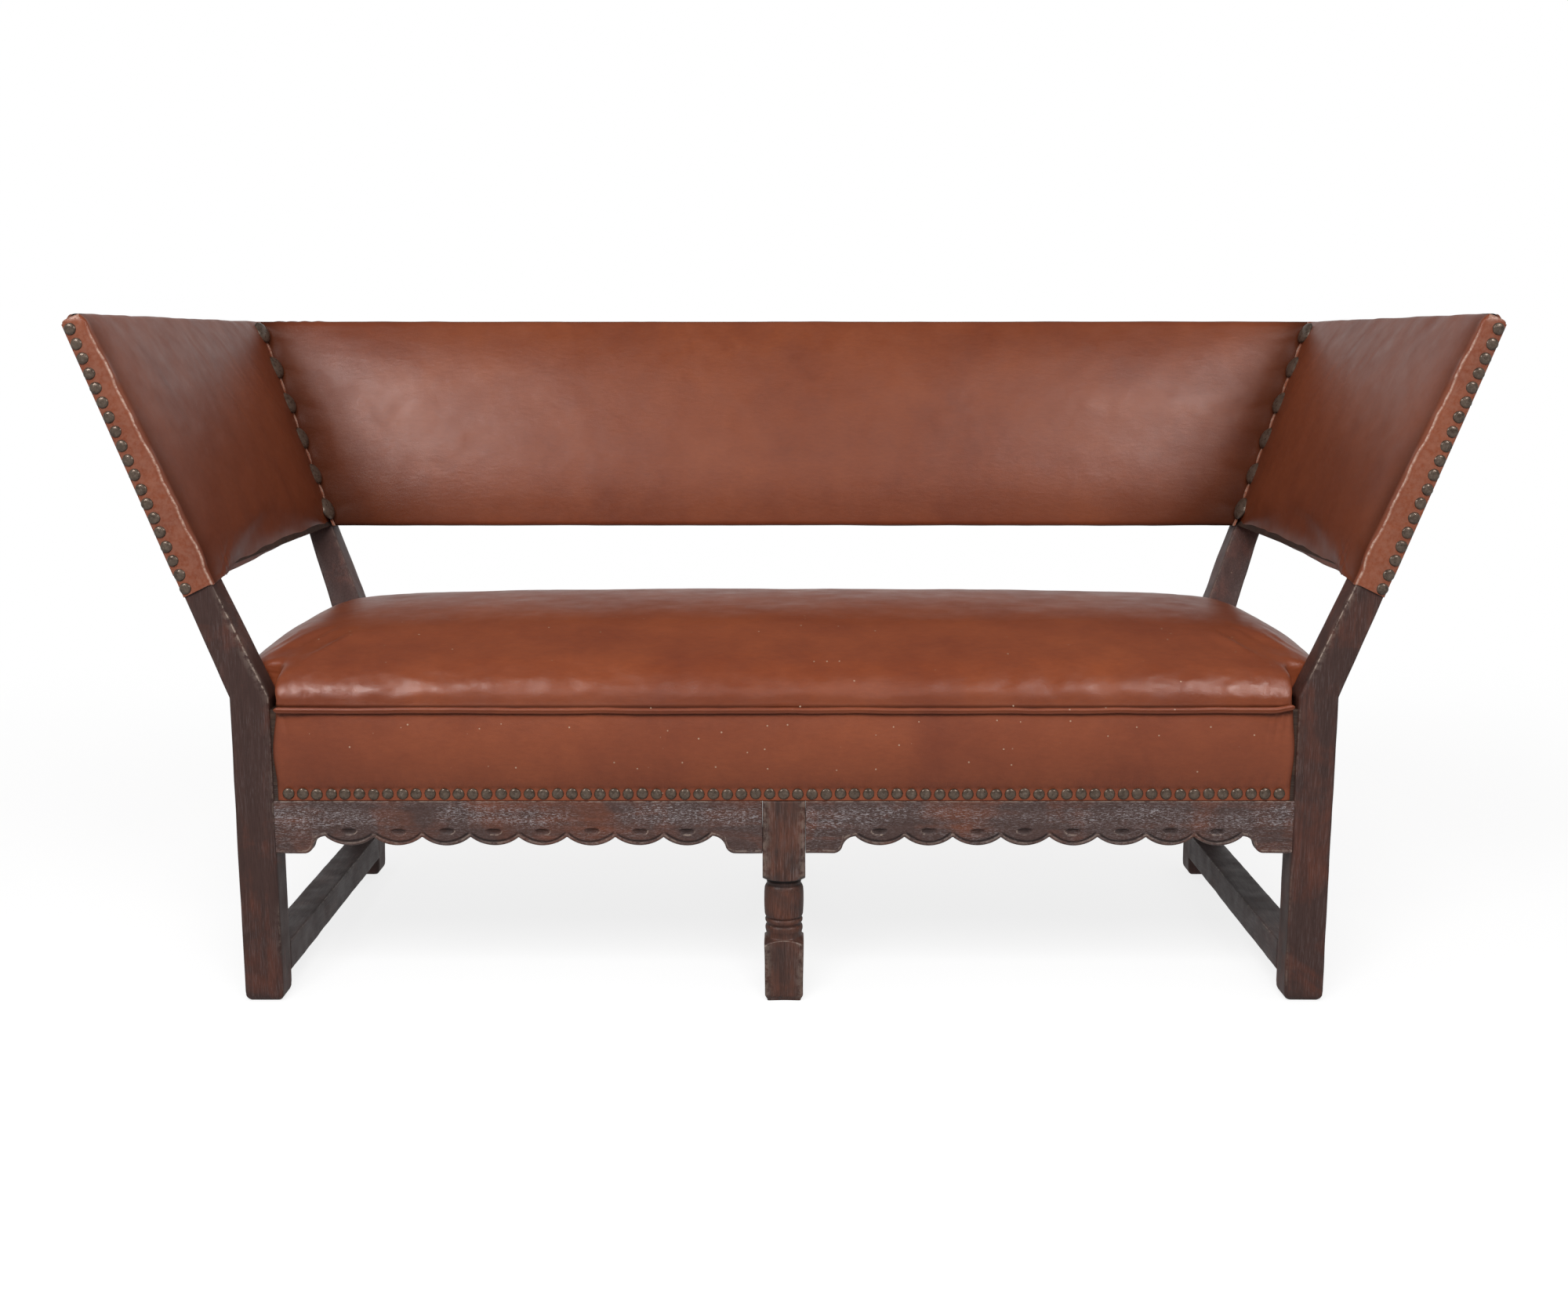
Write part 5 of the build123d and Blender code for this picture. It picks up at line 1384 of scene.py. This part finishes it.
nails("outside_back_nails", [((x, float(rear_y(z)) + LEATHER, z), (0, 1, -rear_slope))
                             for z in (COVER_BOTTOM + 0.012, TOP - 0.012)
                             for x in row_places(float(outer_x(z)) - 0.012)], 231)


# Under the seat: woven straps, the hessian deck and the black dust cover

STRAP_WIDTH = 0.050
STRAP_THICK = 0.0013
STRAP_LAP = 0.008
STRAP_WEAVE = 0.0014
LEG_GAP = 0.002
RAIL_OUTER = LEG_OUTER - RAIL_SETBACK
RAIL_REAR = BASE_DEPTH - RAIL_SETBACK
SHEET_INSET = 0.008


def strap(index, x, y, axis, crossings, z, weave):
    """One strap, which passes by turns over and under those that it crosses along an axis."""
    yy, xx = np.meshgrid(y, x, indexing="ij")
    z = np.full(xx.shape, z)
    for step, at in enumerate(crossings):
        z += weave * smooth(0.040, 0.026, np.abs((xx, yy)[axis] - at)) * ((step + index) % 2)
    upper = np.stack([xx, yy, z], -1)
    return closed_sheet(upper, upper - np.array((0, 0, STRAP_THICK)))


def across(middle):
    return np.linspace(middle - STRAP_WIDTH / 2, middle + STRAP_WIDTH / 2, 7)


side_inner = RAIL_OUTER - RAIL_THICK
cross_span = 2 * (side_inner - STRAP_WIDTH)
cross_middles = [cross_span * (step + 0.5) / 8 - cross_span / 2 for step in range(8)]
long_front = 2 * MIDDLE_LEG_HALF + STRAP_WIDTH
long_rear = BASE_DEPTH - LEG_DEPTH - STRAP_WIDTH
long_middles = [long_front + (long_rear - long_front) * step / 3 for step in range(4)]
cross_run = np.linspace(0.022, RAIL_REAR - RAIL_THICK + STRAP_LAP, 110)
long_run = np.linspace(-side_inner - STRAP_LAP, side_inner + STRAP_LAP, 230)
cross_straps = [strap(i, across(middle), cross_run, 1, long_middles, RAIL_BOTTOM - 0.0001, -STRAP_WEAVE)
                for i, middle in enumerate(cross_middles)]
long_straps = [strap(i, long_run, across(middle), 0, cross_middles, RAIL_BOTTOM - 0.0016, STRAP_WEAVE)
               for i, middle in enumerate(long_middles)]
for node, straps in (("webbing_front_to_back", cross_straps), ("webbing_side_to_side", long_straps)):
    settle(build(node + "_straps", *joined(straps), jute), "jute", node)


def notched_sheet(node, half, y0, y1, z, thickness, notches, material, slot):
    """A flat cloth stretched over the seat rails and cut out round the legs."""
    x, y = np.linspace(-half, half, 190), np.linspace(y0, y1, 84)
    yy, xx = np.meshgrid(y, x, indexing="ij")
    keep = np.ones(xx.shape, bool)
    for left, right, front, rear in notches:
        keep &= ~((xx > left) & (xx < right) & (yy > front) & (yy < rear))
    faces = grid_faces(*xx.shape)
    faces = faces[keep.ravel()[faces].all(axis=1)]
    used, renumbered = np.unique(faces, return_inverse=True)
    points = np.stack([xx, yy, np.full(xx.shape, z)], -1).reshape(-1, 3)[used]
    piece = build(node + "_cloth", points, renumbered.reshape(-1, 4).tolist(), material)
    thick = piece.modifiers.new("thick", "SOLIDIFY")
    thick.thickness = thickness
    thick.offset = -1
    bake(piece)
    settle(piece, slot, node)


BEYOND = 1.0
post_notches = []
for x0, x1 in ((-BEYOND, LEG_GAP - LEG_INNER), (LEG_INNER - LEG_GAP, BEYOND)):
    for y0, y1 in ((-BEYOND, LEG_DEPTH + LEG_GAP), (BASE_DEPTH - LEG_DEPTH - LEG_GAP, BEYOND)):
        post_notches.append((x0, x1, y0, y1))
leg_notches = [(-0.0305, 0.0305, -BEYOND, 0.060), (-0.0235, 0.0235, RAIL_REAR - 0.046, BEYOND)]
notched_sheet("dust_cover", RAIL_OUTER - SHEET_INSET, 0.0225, RAIL_REAR - SHEET_INSET, RAIL_BOTTOM - 0.0031,
              0.0008, post_notches + leg_notches, cambric, "black_cambric")
notched_sheet("hessian_deck", RAIL_OUTER, RAIL_SETBACK, RAIL_REAR, DECK_TOP - 0.0001, 0.0012,
              post_notches, jute, "jute")


# Stage, light and camera

def grey(value):
    return value, value, value, 1


def floor_material(name, lit, glow, low, high):
    """White floor: the camera sees the settee's shadow near it, and plain white from some way off."""
    material = bpy.data.materials.new(name)
    n = Nodes(material)
    n.tree.nodes.clear()
    place = n.add("ShaderNodeTexCoord").outputs["Object"]
    away = n.add("ShaderNodeVectorMath", {0: place}, operation="LENGTH").outputs["Value"]
    far = n.ranged(away, low, high, shape="SMOOTHSTEP")
    near = n.add("ShaderNodeAddShader", {0: n.shader("BsdfDiffuse", Color=grey(lit)),
                                         1: n.shader("Emission", Strength=glow)}).outputs[0]
    seen = n.blend(far, near, n.shader("Emission", Strength=1.0))
    n.add("ShaderNodeOutputMaterial", {"Surface": n.by_ray(
        seen, n.shader("Emission", Strength=0.42), n.shader("BsdfDiffuse", Color=grey(0.36)))})
    return material


def studio_world(ambient, from_front, backdrop, ceiling, behind_camera):
    """White to the camera, a backdrop and a dim ceiling to glossy rays, a fill from the front to the rest."""
    world = bpy.data.worlds.new("studio")
    bpy.context.scene.world = world
    n = Nodes(world)
    n.tree.nodes.clear()
    way = n.add("ShaderNodeSeparateXYZ", {0: n.add("ShaderNodeTexCoord").outputs["Generated"]}).outputs
    fill = n.ranged(way["Y"], -0.90, 0.30, from_front, ambient, "SMOOTHSTEP")
    room = n.times(n.ranged(way["Z"], 0.30, 0.60, backdrop, ceiling, "SMOOTHSTEP"),
                   n.ranged(way["Y"], -0.10, 0.45, behind_camera, 1.0, "SMOOTHSTEP"))
    shades = [n.shader("Background", Color=grey(1), Strength=strength) for strength in (1.0, room, fill)]
    n.add("ShaderNodeOutputWorld", {"Surface": n.by_ray(*shades)})


def softbox(name, at, towards, size, watts, gloss=True, body=True):
    """An area lamp that can be left out of the reflections, or only be seen in them."""
    lamp = bpy.data.lights.new(name, "AREA")
    lamp.shape = "RECTANGLE"
    lamp.size, lamp.size_y = size
    lamp.energy = watts
    holder = bpy.data.objects.new(name, lamp)
    holder.location = at
    holder.rotation_euler = (Vector(towards) - Vector(at)).to_track_quat("-Z", "Y").to_euler()
    holder.visible_glossy = gloss
    holder.visible_diffuse = body
    bpy.context.scene.collection.objects.link(holder)


bpy.ops.mesh.primitive_plane_add(size=60, location=(0, 0, -0.0002))
floor = bpy.context.object
floor.name = "studio_floor"
floor.data.materials.append(floor_material("studio_floor", 0.30, 0.80, 1.3, 3.2))
studio_world(0.22, 0.46, 0.65, 0.10, 0.20)
softbox("key", (-0.25, -3.3, 2.9), (0, 0, 0.55), (3.0, 1.6), 125, gloss=False)
softbox("rear_fill", (0, 3.6, 0.75), (0, 0.2, 0.6), (2.5, 1.0), 50, gloss=False)
softbox("sheen_left", (-1.52, -1.42, 2.30), (-0.5, 0.2, 0.65), (0.7, 0.7), 25, body=False)
softbox("sheen_right", (1.52, -1.42, 2.30), (0.5, 0.2, 0.65), (0.7, 0.7), 20, body=False)

# The camera as solved from the photograph, whose frame is 2000 pixels wide
PHOTO_WIDTH = 2000
FOCAL_PIXELS = 2267
CAMERA_TILT = 9.86
camera = bpy.data.cameras.new("camera")
camera.sensor_width = 36
camera.sensor_fit = "HORIZONTAL"
camera.lens = FOCAL_PIXELS * camera.sensor_width / PHOTO_WIDTH
camera.clip_start = 0.05
camera.dof.use_dof = False
holder = bpy.data.objects.new("camera", camera)
holder.location = (0, FRONT - 2.367, 0.906)
holder.rotation_euler = (math.radians(90 - CAMERA_TILT), 0, 0)
bpy.context.scene.collection.objects.link(holder)
bpy.context.scene.camera = holder
bpy.context.scene.view_settings.view_transform = "Standard"
